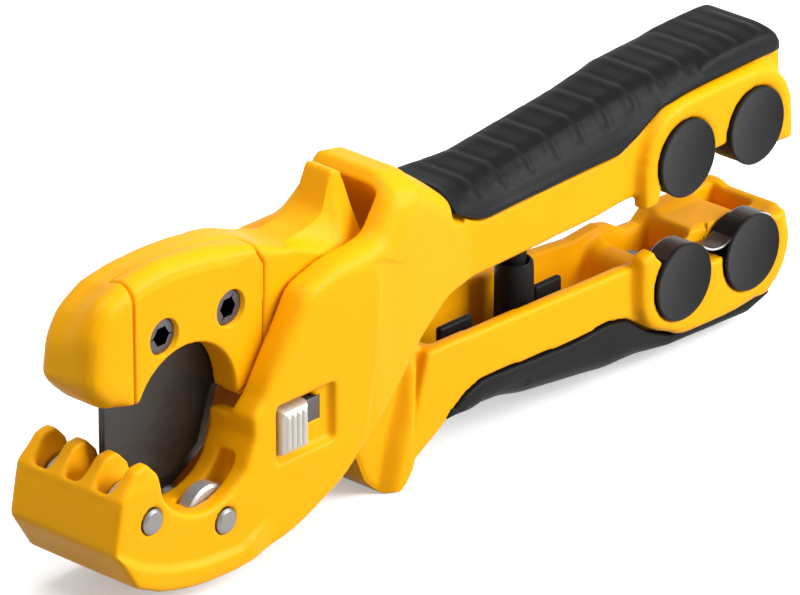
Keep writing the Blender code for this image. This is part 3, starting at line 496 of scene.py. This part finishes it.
# %% Panels and shoulder
UPPER = ((88.4, 0.8), (110.1, 1.1))
LOWER = ((87.8, -26.8), (109.5, -27.3))
PANEL_START = 66.0
PANEL_FACE = -10.2
PANEL_PROUD = 1.7
RING_IN, RING_OUT = 8.6, 13.0
RING_FULL, RING_END = 9.4, 12.8
RING_PULL = 1.15
SHOULDER = 2.6
SHOULDER_START, SHOULDER_REACH = 4.0, 7.0


def panel(x, y, z, discs):
    """Panels round the discs stand further out and close in on them."""
    if x > PANEL_START and y < PANEL_FACE:
        y = PANEL_FACE + (y - PANEL_FACE) * PANEL_PROUD
    if y < -5.0:
        for cx, cz in discs:
            far = math.hypot(x - cx, z - cz)
            if RING_IN < far < RING_OUT:
                pull = RING_PULL * step(far, RING_END, RING_FULL) / far
                x, z = x + (cx - x) * pull, z + (cz - z) * pull
    return x, y, z


def shoulder(y):
    """How far the near shoulder lies below the middle of the back."""
    return SHOULDER * max(0.0, (-y - SHOULDER_START) / SHOULDER_REACH) ** 2


print("the shoulder falls", round(shoulder(-10.0), 2), "mm at y -10")

# %% [markdown]
# ## Jaw, hood and upper handle
# One casting runs from the ribbed jaw through the hood over the hinge to the handle end. Cutting
# every feature into it would take dozens of booleans. It is recast instead and pushed into its
# last shape: the flange under the jaw, the fine step on the cheek, the far side of the hood that
# leans in toward its top, the slim jaw fingers and the low handle edge.

# %% The rule for the frame
FLANGE = [(-79.5, -27.9), (-72.8, -32.4), (-65.4, -35.3), (-57.1, -37.2), (-45.9, -38.0),
          (-39.3, -35.0)]
FLANGE_OUT = 1.0
CHEEK_STEP = [(-30.4, -12.4), (-26.6, -9.5), (-14.5, -7.1), (-5.4, -5.4), (6.1, -4.8), (9.3, -7.2)]
CHEEK_DEPTH = 0.22
HOOD_SIDE, HOOD_NARROW = 8.0, 0.4
FINGERS = (-12.6, -4.2, 4.2, 12.6)
FINGER_FOOT, FINGER_SLIM = -17.6, 0.28
EDGE_DROP = 0.65


def frame_form(x, y, z):
    """The last shape of the frame casting, point by point."""
    x, y, z = panel(x, y, z, UPPER)
    if y < -12.0 and x < -30.0:
        y -= FLANGE_OUT * step(along(x, FLANGE) - z, -0.36, 0.84) * step(x, -36.0, -44.0)
    if y < -12.0 and -25.0 < x < 12.0 and -31.0 < z < 9.6:
        y += CHEEK_DEPTH * step(x - along(z, CHEEK_STEP), -0.25, 0.25) * step(x, 6.0, -2.0)
    if z > 12.0 and -14.0 < x < 14.0 and y > HOOD_SIDE:
        y = HOOD_SIDE + (y - HOOD_SIDE) * (1.0 - HOOD_NARROW * step(z, 12.0, 21.0))
    if z > 3.0 and -6.0 < x < 24.0:
        z -= shoulder(y) * step(x, -6.0, 4.0) * step(z, 3.0, 12.0)
    if x < -62.0 and z > FINGER_FOOT:
        middle = min(FINGERS, key=lambda place: abs(place - y))
        y = middle + (y - middle) * (1.0 - FINGER_SLIM * step(z, FINGER_FOOT, FINGER_FOOT + 4.0))
    if 16.0 < x < 75.0 and y < -6.0 and z < 3.0:
        z -= EDGE_DROP * step(x, 16.0, 24.0) * step(x, 74.0, 62.0) * step(z, 3.0, 0.0)
    return x, y, z


print("a point on the cheek moves to", [round(v, 2) for v in frame_form(-10.0, -13.0, -10.0)])

# %% [markdown]
# A bar across the jaw tip and the rounded back of the hood are laid in before the recast, so that
# they melt into the casting. The two roller openings and the track of the lock button are cut
# after it and stay crisp.

# %% Frame casting
PIN_OPENING = 7.0
bar = box((-78.4, -77.0), (-12.9, 12.9), (-26.0, -16.9), 0.3)
back = slab([(4.0, 17.5), (4.0, 21.0), (8.5, 21.6), (10.5, 20.8), (13.0, 19.2), (16.5, 16.6),
             (20.3, 13.5), (21.4, 9.6), (20.0, 2.0), (8.6, 2.0), (8.6, 14.0), (6.5, 16.5)],
            -12.35, 10.2, 3.0, 8.5, 0.139)
openings = [rings(FRONT_PIN, [(PIN_OPENING, -10.5), (PIN_OPENING, -6.2)]),
            rings(FRONT_PIN, [(PIN_OPENING, 6.2), (PIN_OPENING, 10.5)]),
            box((-29.0, -21.3), (-18.0, -8.3), (-19.4, -14.2), 0.25)]
frame_shape = recast("frame_casting", 0.6, 4, [bar, back], [joined(*openings)])
sculpt(frame_shape, frame_form)
casting = put("jaw_and_upper_handle", frame_shape, ["frame_casting"], paint)
print(casting.name, len(frame_shape.polygons), "faces")

# %% [markdown]
# ## Blade lever and lower handle
# The lever is the second casting. Its nose falls away on the far side and shows a fine parting
# groove. The stop tail keeps a narrow front face between two hollow flanks. The knuckle swells in
# one soft ramp, and the far wall of the handle channel rises and falls. Each of these is one push
# with its own stations, which is easier to correct than a surface drawn by hand.

# %% The rule for the lever
NOSE_FALL = [(-80.0, 3.6), (-73.6, 3.0), (-68.0, 1.8), (-57.0, 1.8), (-51.0, 1.2), (-45.0, 0.7),
             (-38.0, 0.0)]
GROOVE_DEPTH, GROOVE_WIDTH = 0.16, 0.28
RIDGE = [(-25.8, 17.5), (-21.0, 16.3), (-13.9, 19.2), (-9.1, 22.0), (-7.6, 26.2)]
TAIL_HALF, TAIL_SPREAD, TAIL_FULL = 3.5, 4.1, 7.7
RAMP_START = [(-46.0, -0.8), (-35.3, 1.6), (-27.4, 4.8), (-19.4, 8.0)]
RAMP_END = [(-46.0, 4.6), (-35.3, 7.4), (-27.4, 10.1), (-19.4, 11.9)]
KNUCKLE_FACE, KNUCKLE_OUT = -7.2, 3.1
WALL_RISE = 0.9
FAR_TOP = [(60.0, 0.3), (64.0, 1.2), (76.0, 0.5), (84.0, 1.5), (88.0, 0.6), (92.0, -1.6),
           (97.0, -1.8), (100.5, 0.9), (118.0, 1.1)]


def nose(x, y, z):
    """The new height of a point where the nose falls away on the far side."""
    return z - along(x, NOSE_FALL) * step(y, -5.0, 3.0) * step(z, 2.0, 14.0)


def tail_half(x, z):
    """Half the width of the stop tail: narrow on the ridge, spread at its foot."""
    ridge = along(x, RIDGE)
    foot = 17.6 - 0.44 * (x + 26.7)
    down = min(max((ridge - z) / max(ridge - foot, 0.7), 0.0), 1.0)
    half = TAIL_HALF + TAIL_SPREAD * down * down
    return half + (TAIL_FULL - half) * (step(x, -24.0, -28.0) + step(x, 0.0, 4.0))


def lever_form(x, y, z):
    """The last shape of the lever casting, point by point."""
    x, y, z = panel(x, y, z, LOWER)
    z = nose(x, y, z)
    if x < -70.0 and abs(y) < 5.5:
        x += GROOVE_DEPTH * math.exp(-(y / GROOVE_WIDTH) ** 2)
    if -33.0 < x < 4.0 and z > 4.0:
        half = tail_half(x, z)
        y = max(-half, min(half, y))
    if -47.0 < z < -16.0 and y < -6.0 and x < 14.0:
        ramp = step(x, along(z, RAMP_START), along(z, RAMP_END))
        ramp *= step(z, -16.0, -22.0) * step(x, 14.0, 8.0)
        y = min(y, KNUCKLE_FACE - KNUCKLE_OUT * ramp)
    if 14.0 < x < 72.0 and y > 5.0 and z > -23.5:
        z += WALL_RISE * step(z, -23.5, -21.5) * step(x, 14.0, 20.0) * step(x, 66.0, 58.0)
    if y > 3.0 and z > -26.0 and x > 60.0:
        z += along(x, FAR_TOP) * step(z, -26.0, -22.0) * step(y, 3.0, 7.0)
    return x, y, z


print("the tail is", round(2 * tail_half(-14.0, 19.0), 1), "mm wide on its ridge")

# %% [markdown]
# A web behind the leaf strip is laid into the handle before the recast. The grid is a little finer
# than on the frame, because the lever has thinner walls.

# %% Lever casting
web = box((98.5, 113.5), (-5.6, 9.2), (-36.0, -21.2), 1.4)
lever_shape = sculpt(recast("lever_casting", 0.56, 4, [web]), lever_form)
casting = put("blade_lever", lever_shape, ["lever_casting"], paint)
print(casting.name, len(lever_shape.polygons), "faces")

# %% [markdown]
# ## Cover over the blade
# A small cover holds the blade on the lever with two sunk screws. Its packed screw holes are
# filled before the recast and bored again after it, which keeps their rims crisp. It follows the
# same fall of the nose as the lever.

# %% Cover
SCREWS = {"cover_screw_front": (-59.0, 9.2), "cover_screw_rear": (-40.6, 9.1)}
plugs = [rings(centre, [(4.6, -7.2), (4.6, -1.3)]) for centre in SCREWS.values()]
bores = [rings(centre, [(3.95, -9.0), (3.9, -3.0)]) for centre in SCREWS.values()]
cover_shape = sculpt(recast("blade_cover", 0.4, 4, plugs, bores),
                     lambda x, y, z: (x, y, nose(x, y, z)))
casting = put("cover_over_blade", cover_shape, ["blade_cover"], paint)
print(casting.name, len(cover_shape.polygons), "faces")

# %% [markdown]
# ## Upper rubber grip
# The upper grip has twelve low ribs across its back. Each rib drops steeply toward the rear, ends
# in a rounded tip on the near shoulder and has a small hollow behind it. A repeated object would
# sit on the skin like a separate strip, so the ribs are raised out of the rubber itself.

# %% The rules for the grip
SEAM = [(20.0, 9.0), (30.0, 5.6), (53.0, 6.2), (70.0, 6.4), (76.0, 8.9), (83.0, 13.4),
        (119.0, 14.5)]
BACK_FALL = [(20.0, 1.6), (26.0, 1.1), (36.0, 0.9), (85.0, 0.8), (97.0, 0.3), (110.0, 0.2)]
BACK_NARROW = 0.08
RIB_FIRST = 27.5
RIB_PITCH = 7.93
RIBS = 12
RIB_FOOT = [(27.0, 8.0), (60.0, 11.0), (84.0, 13.5), (115.0, 15.0)]
RIB_HEIGHT = 0.24
HOLLOW_DEPTH, HOLLOW_BEHIND, HOLLOW_WIDTH = 0.2, 2.1, 0.75


def upper_grip_form(x, y, z):
    """The last shape of the upper rubber, before its ribs."""
    low = along(x, SEAM)
    up = step(z, low, low + 8.0)
    z -= shoulder(y) * step(z, low, low + 5.0) * (1.0 - 0.5 * step(x, 80.0, 90.0))
    y *= 1.0 - BACK_NARROW * up * up
    return x, y, z - along(x, BACK_FALL) * step(z, 9.0, 14.0)


def ribs(x, y, z):
    """The height of the ribs over the smooth rubber."""
    number = round((x - RIB_FIRST) / RIB_PITCH)
    if not 0 <= number < RIBS or z < along(x, RIB_FOOT):
        return 0.0
    away = x - RIB_FIRST - RIB_PITCH * number
    across = step(y, -9.4, -8.1) * (1.0 - 0.85 * step(y, 1.0, 8.0))
    bar = step(away, -1.9, -0.2) * step(away, 1.5, 0.3)
    hollow = math.exp(-((away - HOLLOW_BEHIND) / HOLLOW_WIDTH) ** 2)
    hollow *= step(y, -9.8, -8.8) * step(y, 10.0, 8.8) * (1.0 - 0.9 * step(y, 1.0, 7.0))
    return RIB_HEIGHT * bar * across - HOLLOW_DEPTH * hollow


print(RIBS, "ribs from x", RIB_FIRST, "to", round(RIB_FIRST + RIB_PITCH * (RIBS - 1), 1))

# %% [markdown]
# The end of the grip is a thick rounded block, laid in before the recast. The rubber starts at a
# straight seam behind the hood, so everything ahead of that seam is cut off cleanly.

# %% Upper grip
end = slab([(96.0, 14.3), (96.0, 19.0), (101.0, 19.9), (110.0, 20.2), (117.0, 20.2), (118.8, 19.8),
            (119.8, 18.9), (120.4, 17.4), (120.6, 14.3)], -10.5, 9.2, 5.2, 14.5, steps=8)
front = box((0.0, 20.7), (-20.0, 20.0), (8.9, 40.0))
grip_shape = sculpt(recast("upper_grip", 0.45, 8, [end], [front]), upper_grip_form)
emboss(grip_shape, ribs)
grip = put("upper_rubber", grip_shape, ["upper_grip"], rubber)
print(grip.name, len(grip_shape.polygons), "faces")

# %% [markdown]
# ## Lower rubber grip
# The lower grip is smooth. Its underside is drawn in next to the knuckle and swells a little where
# the fingers close round it. Soft steps along the handle give that line.

# %% Lower grip
KNUCKLE_RISE = 1.5
FINGER_SWELL = 1.2


def lower_grip_form(x, y, z):
    """The last shape of the lower rubber, point by point."""
    if z < -34.0:
        z += KNUCKLE_RISE * step(x, 28.0, 18.0)
        z -= FINGER_SWELL * step(x, 34.0, 44.0) * step(x, 78.0, 66.0)
    return x, y, z


grip_shape = sculpt(recast("lower_grip", 0.45, 8), lower_grip_form)
grip = put("lower_rubber", grip_shape, ["lower_grip"], rubber)
print(grip.name, len(grip_shape.polygons), "faces")

# %% [markdown]
# ## Handle discs
# Two plastic discs sit near the end of each handle. Each has a flat face with a small raised lip,
# a thin flange and a drum behind it. A disc is round, so it is turned from rings, as on a lathe.

# %% Handle discs
FACE = -13.45
FACE_RINGS = [(0.6, 0.16), (7.75, 0.14), (8.0, 0.0), (8.25, 0.02), (8.42, 0.2), (8.42, 0.6),
              (8.1, 0.8)]
DRUM_END = -6.5
for level, centres, drum in (("upper", UPPER, 8.25), ("lower", LOWER, 7.1)):
    for place, centre in zip(("front", "rear"), centres):
        levels = [(radius, FACE + depth) for radius, depth in FACE_RINGS]
        levels += [(drum, FACE + 0.82), (drum, DRUM_END), (drum - 0.3, DRUM_END + 0.3)]
        disc = put(f"{level}_{place}_disc", rings(centre, levels, 96),
                   [f"{level}_roller_{place}"], plastic, 32)
print("discs with", len(disc.data.polygons), "faces each")

# %% [markdown]
# ## Cover screws
# Two black screws hold the cover. Each has a low round head with a hexagon socket. The socket
# needs no cut: its rings simply have the radius of a hexagon, and the next ones are round.

# %% Cover screws


def hexagon(reach):
    """Radius of a hexagon at an angle."""
    side = math.pi / 3
    return lambda angle: reach * math.cos(side / 2) / math.cos((angle % side) - side / 2)


for name, centre in SCREWS.items():
    levels = [(0.3, -4.6), (hexagon(1.95), -4.4), (hexagon(1.95), -6.55), (hexagon(2.15), -6.72),
              (3.3, -6.72), (3.6, -6.6), (3.74, -6.4), (3.74, -3.1), (2.0, -3.1), (2.0, 3.1)]
    screw = put(name + "_head", rings(centre, levels, 72), [name], black_screw, 30)
print("screws with", len(screw.data.polygons), "faces each")

# %% [markdown]
# ## Jaw pins and jaw rollers
# Two riveted pins cross the jaw, and each carries a pair of bright rollers that the pipe turns on.
# The pin ends are finely toothed where they were pressed in. The teeth are a radius that changes
# with the angle, which is lighter than forty small cuts.

# %% Jaw pins and jaw rollers
TEETH = 40


def serrated(reach, depth):
    """Radius of a finely toothed ring."""
    return lambda angle: reach - depth * abs(math.cos(angle * TEETH / 2))


for place, centre, reach in (("front", FRONT_PIN, 6.8), ("rear", REAR_PIN, 6.1)):
    tooth = serrated(2.72, 0.09)
    levels = [(0.4, -15.2), (2.1, -15.18), (2.36, -15.0), (serrated(2.5, 0.06), -14.9),
              (tooth, -14.7), (2.68, -14.2), (2.68, 14.2), (tooth, 14.7), (2.36, 15.0),
              (2.1, 15.18), (0.4, 15.2)]
    put("jaw_pin_" + place + "_riveted", rings(centre, levels, 120), ["jaw_pin_" + place], steel,
        28)
    for side, outer, inner in (("near", -10.2, -6.45), ("far", 6.45, 10.2)):
        levels = [(2.9, outer + 0.1), (reach - 1.1, outer), (reach - 0.55, outer + 0.05),
                  (reach, outer + 0.5), (reach, inner - 0.5), (reach - 0.5, inner), (2.9, inner)]
        put(f"jaw_roller_{place}_{side}_ring", rings(centre, levels, 96),
            [f"jaw_roller_{place}_{side}"], roller_steel, 30)
print("two pins and four rollers turned")

# %% [markdown]
# ## Lock button
# The button is a small casting that a thumb slides: four soft ribs that fade toward a rounded rim.
# The relief is a grid whose points are lifted by a rule. The rounded rim is a quarter circle, and
# each rib is half a sine wave. A skirt closes it behind, and a stem and a dark slide plate join it
# to the track. The dark plate also stands in for the shade inside the track opening.

# %% Lock button
LEFT, RIGHT, BOTTOM, TOP = -34.8, -27.3, -22.4, -12.6
BUTTON_BASE, BUTTON_THICK, SKIRT = -14.2, 1.9, 1.4
ROUND_RIM = 1.1
BUTTON_RIBS = 4
RIB_RISE, RIB_SUNK = 0.55, 0.2
SLIDE_START, SLIDE_FACE = -28.5, -13.0


def button_height(u, x, z):
    """The thickness of the button at a place; u runs from 0 to 1 across it."""
    rim = min(x - LEFT, RIGHT - x, (z - BOTTOM) * 0.8, (TOP - z) * 0.8)
    dome = math.sqrt(max(0.0, 1.0 - (1.0 - min(rim / ROUND_RIM, 1.0)) ** 2))
    inside = 0.1 < u < 0.9
    wave = math.sin(math.pi * ((u - 0.1) / 0.8 * BUTTON_RIBS % 1.0)) ** 0.7 if inside else 0.0
    fade = step(z, BOTTOM + 0.6, BOTTOM + 1.5) * step(z, TOP - 0.9, TOP - 1.8) * step(rim, 0.0, 0.8)
    return BUTTON_THICK * dome + (RIB_RISE * wave - RIB_SUNK) * fade


shape = bmesh.new()
bmesh.ops.create_grid(shape, x_segments=60, y_segments=48, size=0.5)
for vert in shape.verts:
    u, v = vert.co.x + 0.5, vert.co.y + 0.5
    x, z = LEFT + (RIGHT - LEFT) * u, BOTTOM + (TOP - BOTTOM) * v
    vert.co = at(x, BUTTON_BASE - button_height(u, x, z), z)
border = [edge for edge in shape.edges if edge.is_boundary]
skirt = bmesh.ops.extrude_edge_only(shape, edges=border)
bmesh.ops.translate(shape, vec=Vector((0.0, SKIRT, 0.0)) * MM,
                    verts=[item for item in skirt["geom"] if isinstance(item, bmesh.types.BMVert)])
bmesh.ops.holes_fill(shape, edges=[edge for edge in shape.edges if edge.is_boundary])
bmesh.ops.recalc_face_normals(shape, faces=shape.faces)
stem = box((-31.2, -28.2), (-13.0, -8.3), (-17.7, -13.6), 0.2)
slide = box((-28.4, -21.4), (-12.9, -10.6), (-19.3, -14.3), 0.2)
button = joined(finished(shape, "button"), stem, slide)
put("ribbed_lock_button", button, ["lock_slider"], button_metal, 40)
# The slide plate gets the dark oxide steel. It is the plate's own dark finish, and it also paints the
# shade inside the track opening.
button.materials.append(black_screw)
for face in button.polygons:
    if face.center.x > at(SLIDE_START, 0, 0).x and face.center.y > at(0, SLIDE_FACE, 0).y:
        face.material_index = 1
print("the button has", len(button.polygons), "faces")

# %% [markdown]
# ## Leaf strip
# A waved strip of spring steel lies between the handles. It is one line of points pulled out into
# a band. A subdivision bends the band evenly, a solidify gives it the thickness of the
# sheet and a bevel rounds its rolled edges. The faces along both edges get the pale steel as a
# painted highlight on the rims.

# %% Leaf strip
PATH = [(82.6, -23.2), (83.4, -21.4), (85.7, -19.7), (88.8, -19.1), (91.8, -19.6), (94.4, -21.3),
        (97.0, -23.0), (99.8, -23.8), (102.4, -23.6), (105.0, -22.6), (107.6, -21.0),
        (110.6, -19.8), (114.0, -20.0), (116.4, -21.6)]
STRIP_FAR, STRIP_WIDTH, SHEET = -6.8, 5.4, 0.5
# Between these two places the strip keeps its dark steel; outside them the pale steel is a painted
# highlight.
PAINTED_HIGHLIGHT_NEAR, PAINTED_HIGHLIGHT_FAR = -12.02, -6.98
shape = bmesh.new()
points = [shape.verts.new(at(x, STRIP_FAR, z)) for x, z in PATH]
for one, two in zip(points, points[1:]):
    shape.edges.new((one, two))
band = bmesh.ops.extrude_edge_only(shape, edges=shape.edges[:])
bmesh.ops.translate(shape, vec=Vector((0.0, -STRIP_WIDTH, 0.0)) * MM,
                    verts=[item for item in band["geom"] if isinstance(item, bmesh.types.BMVert)])
holder = shown("strip", finished(shape, "strip"))
smooth = holder.modifiers.new("even_bend", "SUBSURF")
smooth.levels = smooth.render_levels = 3
smooth.boundary_smooth = "PRESERVE_CORNERS"
thick = holder.modifiers.new("sheet", "SOLIDIFY")
thick.thickness = SHEET * MM
thick.offset = 0.0
rolled = holder.modifiers.new("rolled_edge", "BEVEL")
rolled.width = 0.22 * MM
rolled.segments = 2
strip = baked(holder)
put("waved_leaf_strip", strip, ["leaf_strip"], spring_steel, 40)
# The pale steel paints a highlight on the faces along both edges of the strip.
strip.materials.append(roller_steel)
for face in strip.polygons:
    if not at(0, PAINTED_HIGHLIGHT_NEAR, 0).y < face.center.y < at(0, PAINTED_HIGHLIGHT_FAR, 0).y:
        face.material_index = 1
print("the strip has", len(strip.polygons), "faces")

# %% [markdown]
# ## Spring holder and plunger
# A plastic plate with two tabs carries a tube for the return spring, and a plunger of the same
# plastic slides in it. Both stand upright, so their rings lie flat. The plate and its tabs are
# blocks with rounded edges, because moulded plastic never has a knife edge.

# %% Spring holder
SPRING_AXIS = (50.0, 0.0)
tube = rings(SPRING_AXIS, [(0.4, -20.0), (2.9, -20.0), (3.05, -13.8), (3.2, -13.2), (3.6, -13.0),
                           (3.95, -13.4), (4.05, -15.0), (4.2, -30.4), (0.4, -30.5)],
             72, upright=True)
plate = box((24.5, 62.0), (-3.9, 3.9), (-30.7, -28.6), 0.4)
tabs = [box((24.8, 34.6), (-2.9, -1.2), (-29.0, -19.2), 0.7, 4),
        box((53.4, 61.6), (-2.9, -1.2), (-29.0, -19.6), 0.7, 4)]
put("spring_holder", joined(tube, plate, *tabs), ["spring_carrier"], shade_dulled_plastic, 35)
plunger = rings(SPRING_AXIS, [(0.5, -15.0), (2.3, -14.8), (2.5, -12.6), (2.6, -10.4), (3.3, -8.6),
                              (3.5, -7.6), (3.5, 0.6), (0.5, 0.6)], 72, upright=True)
put("spring_pusher", plunger, ["spring_plunger"], shade_dulled_plastic, 35)
print("the plunger has", len(plunger.polygons), "faces")

# %% [markdown]
# ## Blade
# The blade is a dark ground plate with a long bevel down to its cutting edge. A bevel modifier
# would need a clean edge loop all round the curve. Here every point near the edge line is drawn
# toward the middle plane instead, by how near it lies, which gives the same even wedge.

# %% Blade
EDGE = [(-69.2, -17.5), (-64.8, -24.0), (-57.0, -28.2), (-49.0, -27.6), (-41.0, -22.6),
        (-37.4, -12.0)]
EDGE_THIN, BEVEL_WIDTH, FAR_AWAY = 0.12, 3.2, 9.0


def blade_form(x, y, z):
    """The blade with its wedge toward the cutting edge."""
    near = FAR_AWAY
    for (ax, az), (bx, bz) in zip(EDGE, EDGE[1:]):
        wide, tall = bx - ax, bz - az
        t = ((x - ax) * wide + (z - az) * tall) / (wide ** 2 + tall ** 2)
        t = min(max(t, 0.0), 1.0)
        near = min(near, math.hypot(x - ax - t * wide, z - az - t * tall))
    return x, y * min(1.0, EDGE_THIN + near / BEVEL_WIDTH), z


blade = sculpt(recast("cutting_blade", 0.3, 2), blade_form)
put("ground_blade", blade, ["cutting_blade"], blade_steel)
print("the blade has", len(blade.polygons), "faces")

# %% [markdown]
# ## White floor and white world
# The tool lies on a bright white ground with a faint shadow. A floor that only reflects would turn
# grey, and one that only glows would lose the shadow, so the floor does a little of both. What the
# eye sees of it is bright, while the light that it throws on the tool is held back. The world is
# split in the same way.

# %% Floor and world
FLOOR_GLOW = 0.35
FLOOR_HALF = 3.0
WORLD_LEVEL = 0.46
WHITE = (1, 1, 1, 1)


def background_rays(tree):
    """1 for camera, glossy and transmission rays, so eye and metal see the same background."""
    ray = node(tree, "ShaderNodeLightPath")
    seen = ray, "Is Camera Ray"
    for kind in ("Is Glossy Ray", "Is Transmission Ray"):
        wider = node(tree, "ShaderNodeMath", {"operation": "MAXIMUM"})
        tree.links.new(seen[0].outputs[seen[1]], wider.inputs[0])
        tree.links.new(ray.outputs[kind], wider.inputs[1])
        seen = wider, "Value"
    return seen


shape = bmesh.new()
bmesh.ops.create_grid(shape, x_segments=1, y_segments=1, size=FLOOR_HALF)
floor = shown("studio_floor", finished(shape, "studio_floor"))
# A matt white board spreads the light evenly and glows a little.
white, tree, shader = finish_named("white_floor")
shader.inputs["Base Color"].default_value = colour("#f4f4f4")
shader.inputs["Roughness"].default_value = 0.9
glow = node(tree, "ShaderNodeEmission", {"Color": WHITE, "Strength": FLOOR_GLOW})
both = node(tree, "ShaderNodeAddShader")
tree.links.new(shader.outputs["BSDF"], both.inputs[0])
tree.links.new(glow.outputs["Emission"], both.inputs[1])
dim = node(tree, "ShaderNodeBsdfDiffuse", {"Color": colour("#8a8a8a")})
pick = node(tree, "ShaderNodeMixShader", Fac=background_rays(tree))
tree.links.new(dim.outputs["BSDF"], pick.inputs[1])
tree.links.new(both.outputs["Shader"], pick.inputs[2])
tree.links.new(pick.outputs["Shader"], tree.nodes["Material Output"].inputs["Surface"])
floor.data.materials.append(white)

world = bpy.data.worlds.new("studio")
bpy.context.scene.world = world
world.use_nodes = True
tree = world.node_tree
background = tree.nodes["Background"]
background.inputs["Color"].default_value = WHITE
level = node(tree, "ShaderNodeMapRange", {"To Min": WORLD_LEVEL, "To Max": 1.0},
             Value=background_rays(tree))
tree.links.new(level.outputs["Result"], background.inputs["Strength"])
print("floor and world ready")

# %% [markdown]
# ## Lamps
# One large soft lamp stands high on the near side and draws the form. A weaker one above opens the
# shadows. Square area lamps are used because their size sets how soft the edges of shadows are.

# %% Lamps
LAMP_SIDE = 0.7
KEY_WATTS, TOP_WATTS = 17.5, 9.0


def lamp(name, place, target, power):
    """A square soft lamp that faces a target."""
    data = bpy.data.lights.new(name, "AREA")
    data.size = LAMP_SIDE
    data.energy = power
    made = shown(name, data)
    made.location = place
    made.rotation_euler = (target - place).to_track_quat("-Z", "Y").to_euler()


middle = at(20.0, 0.0, -10.0)
lamp("key_near_side", middle + Vector((0.55, -0.85, 0.5)), middle, KEY_WATTS)
lamp("top_fill", middle + Vector((-0.35, 0.0, 1.2)), middle, TOP_WATTS)
print("two lamps of", KEY_WATTS, "and", TOP_WATTS, "W")

# %% [markdown]
# ## Camera
# The camera stands far away on the jaw side and looks a little down through a long lens, which
# keeps the handles from shrinking with distance.

# %% Camera
LOOK_DOWN, TURN = 24.76, 47.31
lens = bpy.data.cameras.new("camera")
lens.lens = 360.0
lens.sensor_width = 36.0
lens.clip_end = 20.0
camera = shown("camera", lens)
camera.location = at(-1050.665, -983.825, 659.172)
camera.rotation_euler = (math.radians(90.0 - LOOK_DOWN), 0.0, math.radians(-TURN))
bpy.context.scene.camera = camera
bpy.context.scene.view_settings.view_transform = "Standard"
print("camera at", [round(v, 3) for v in camera.location])
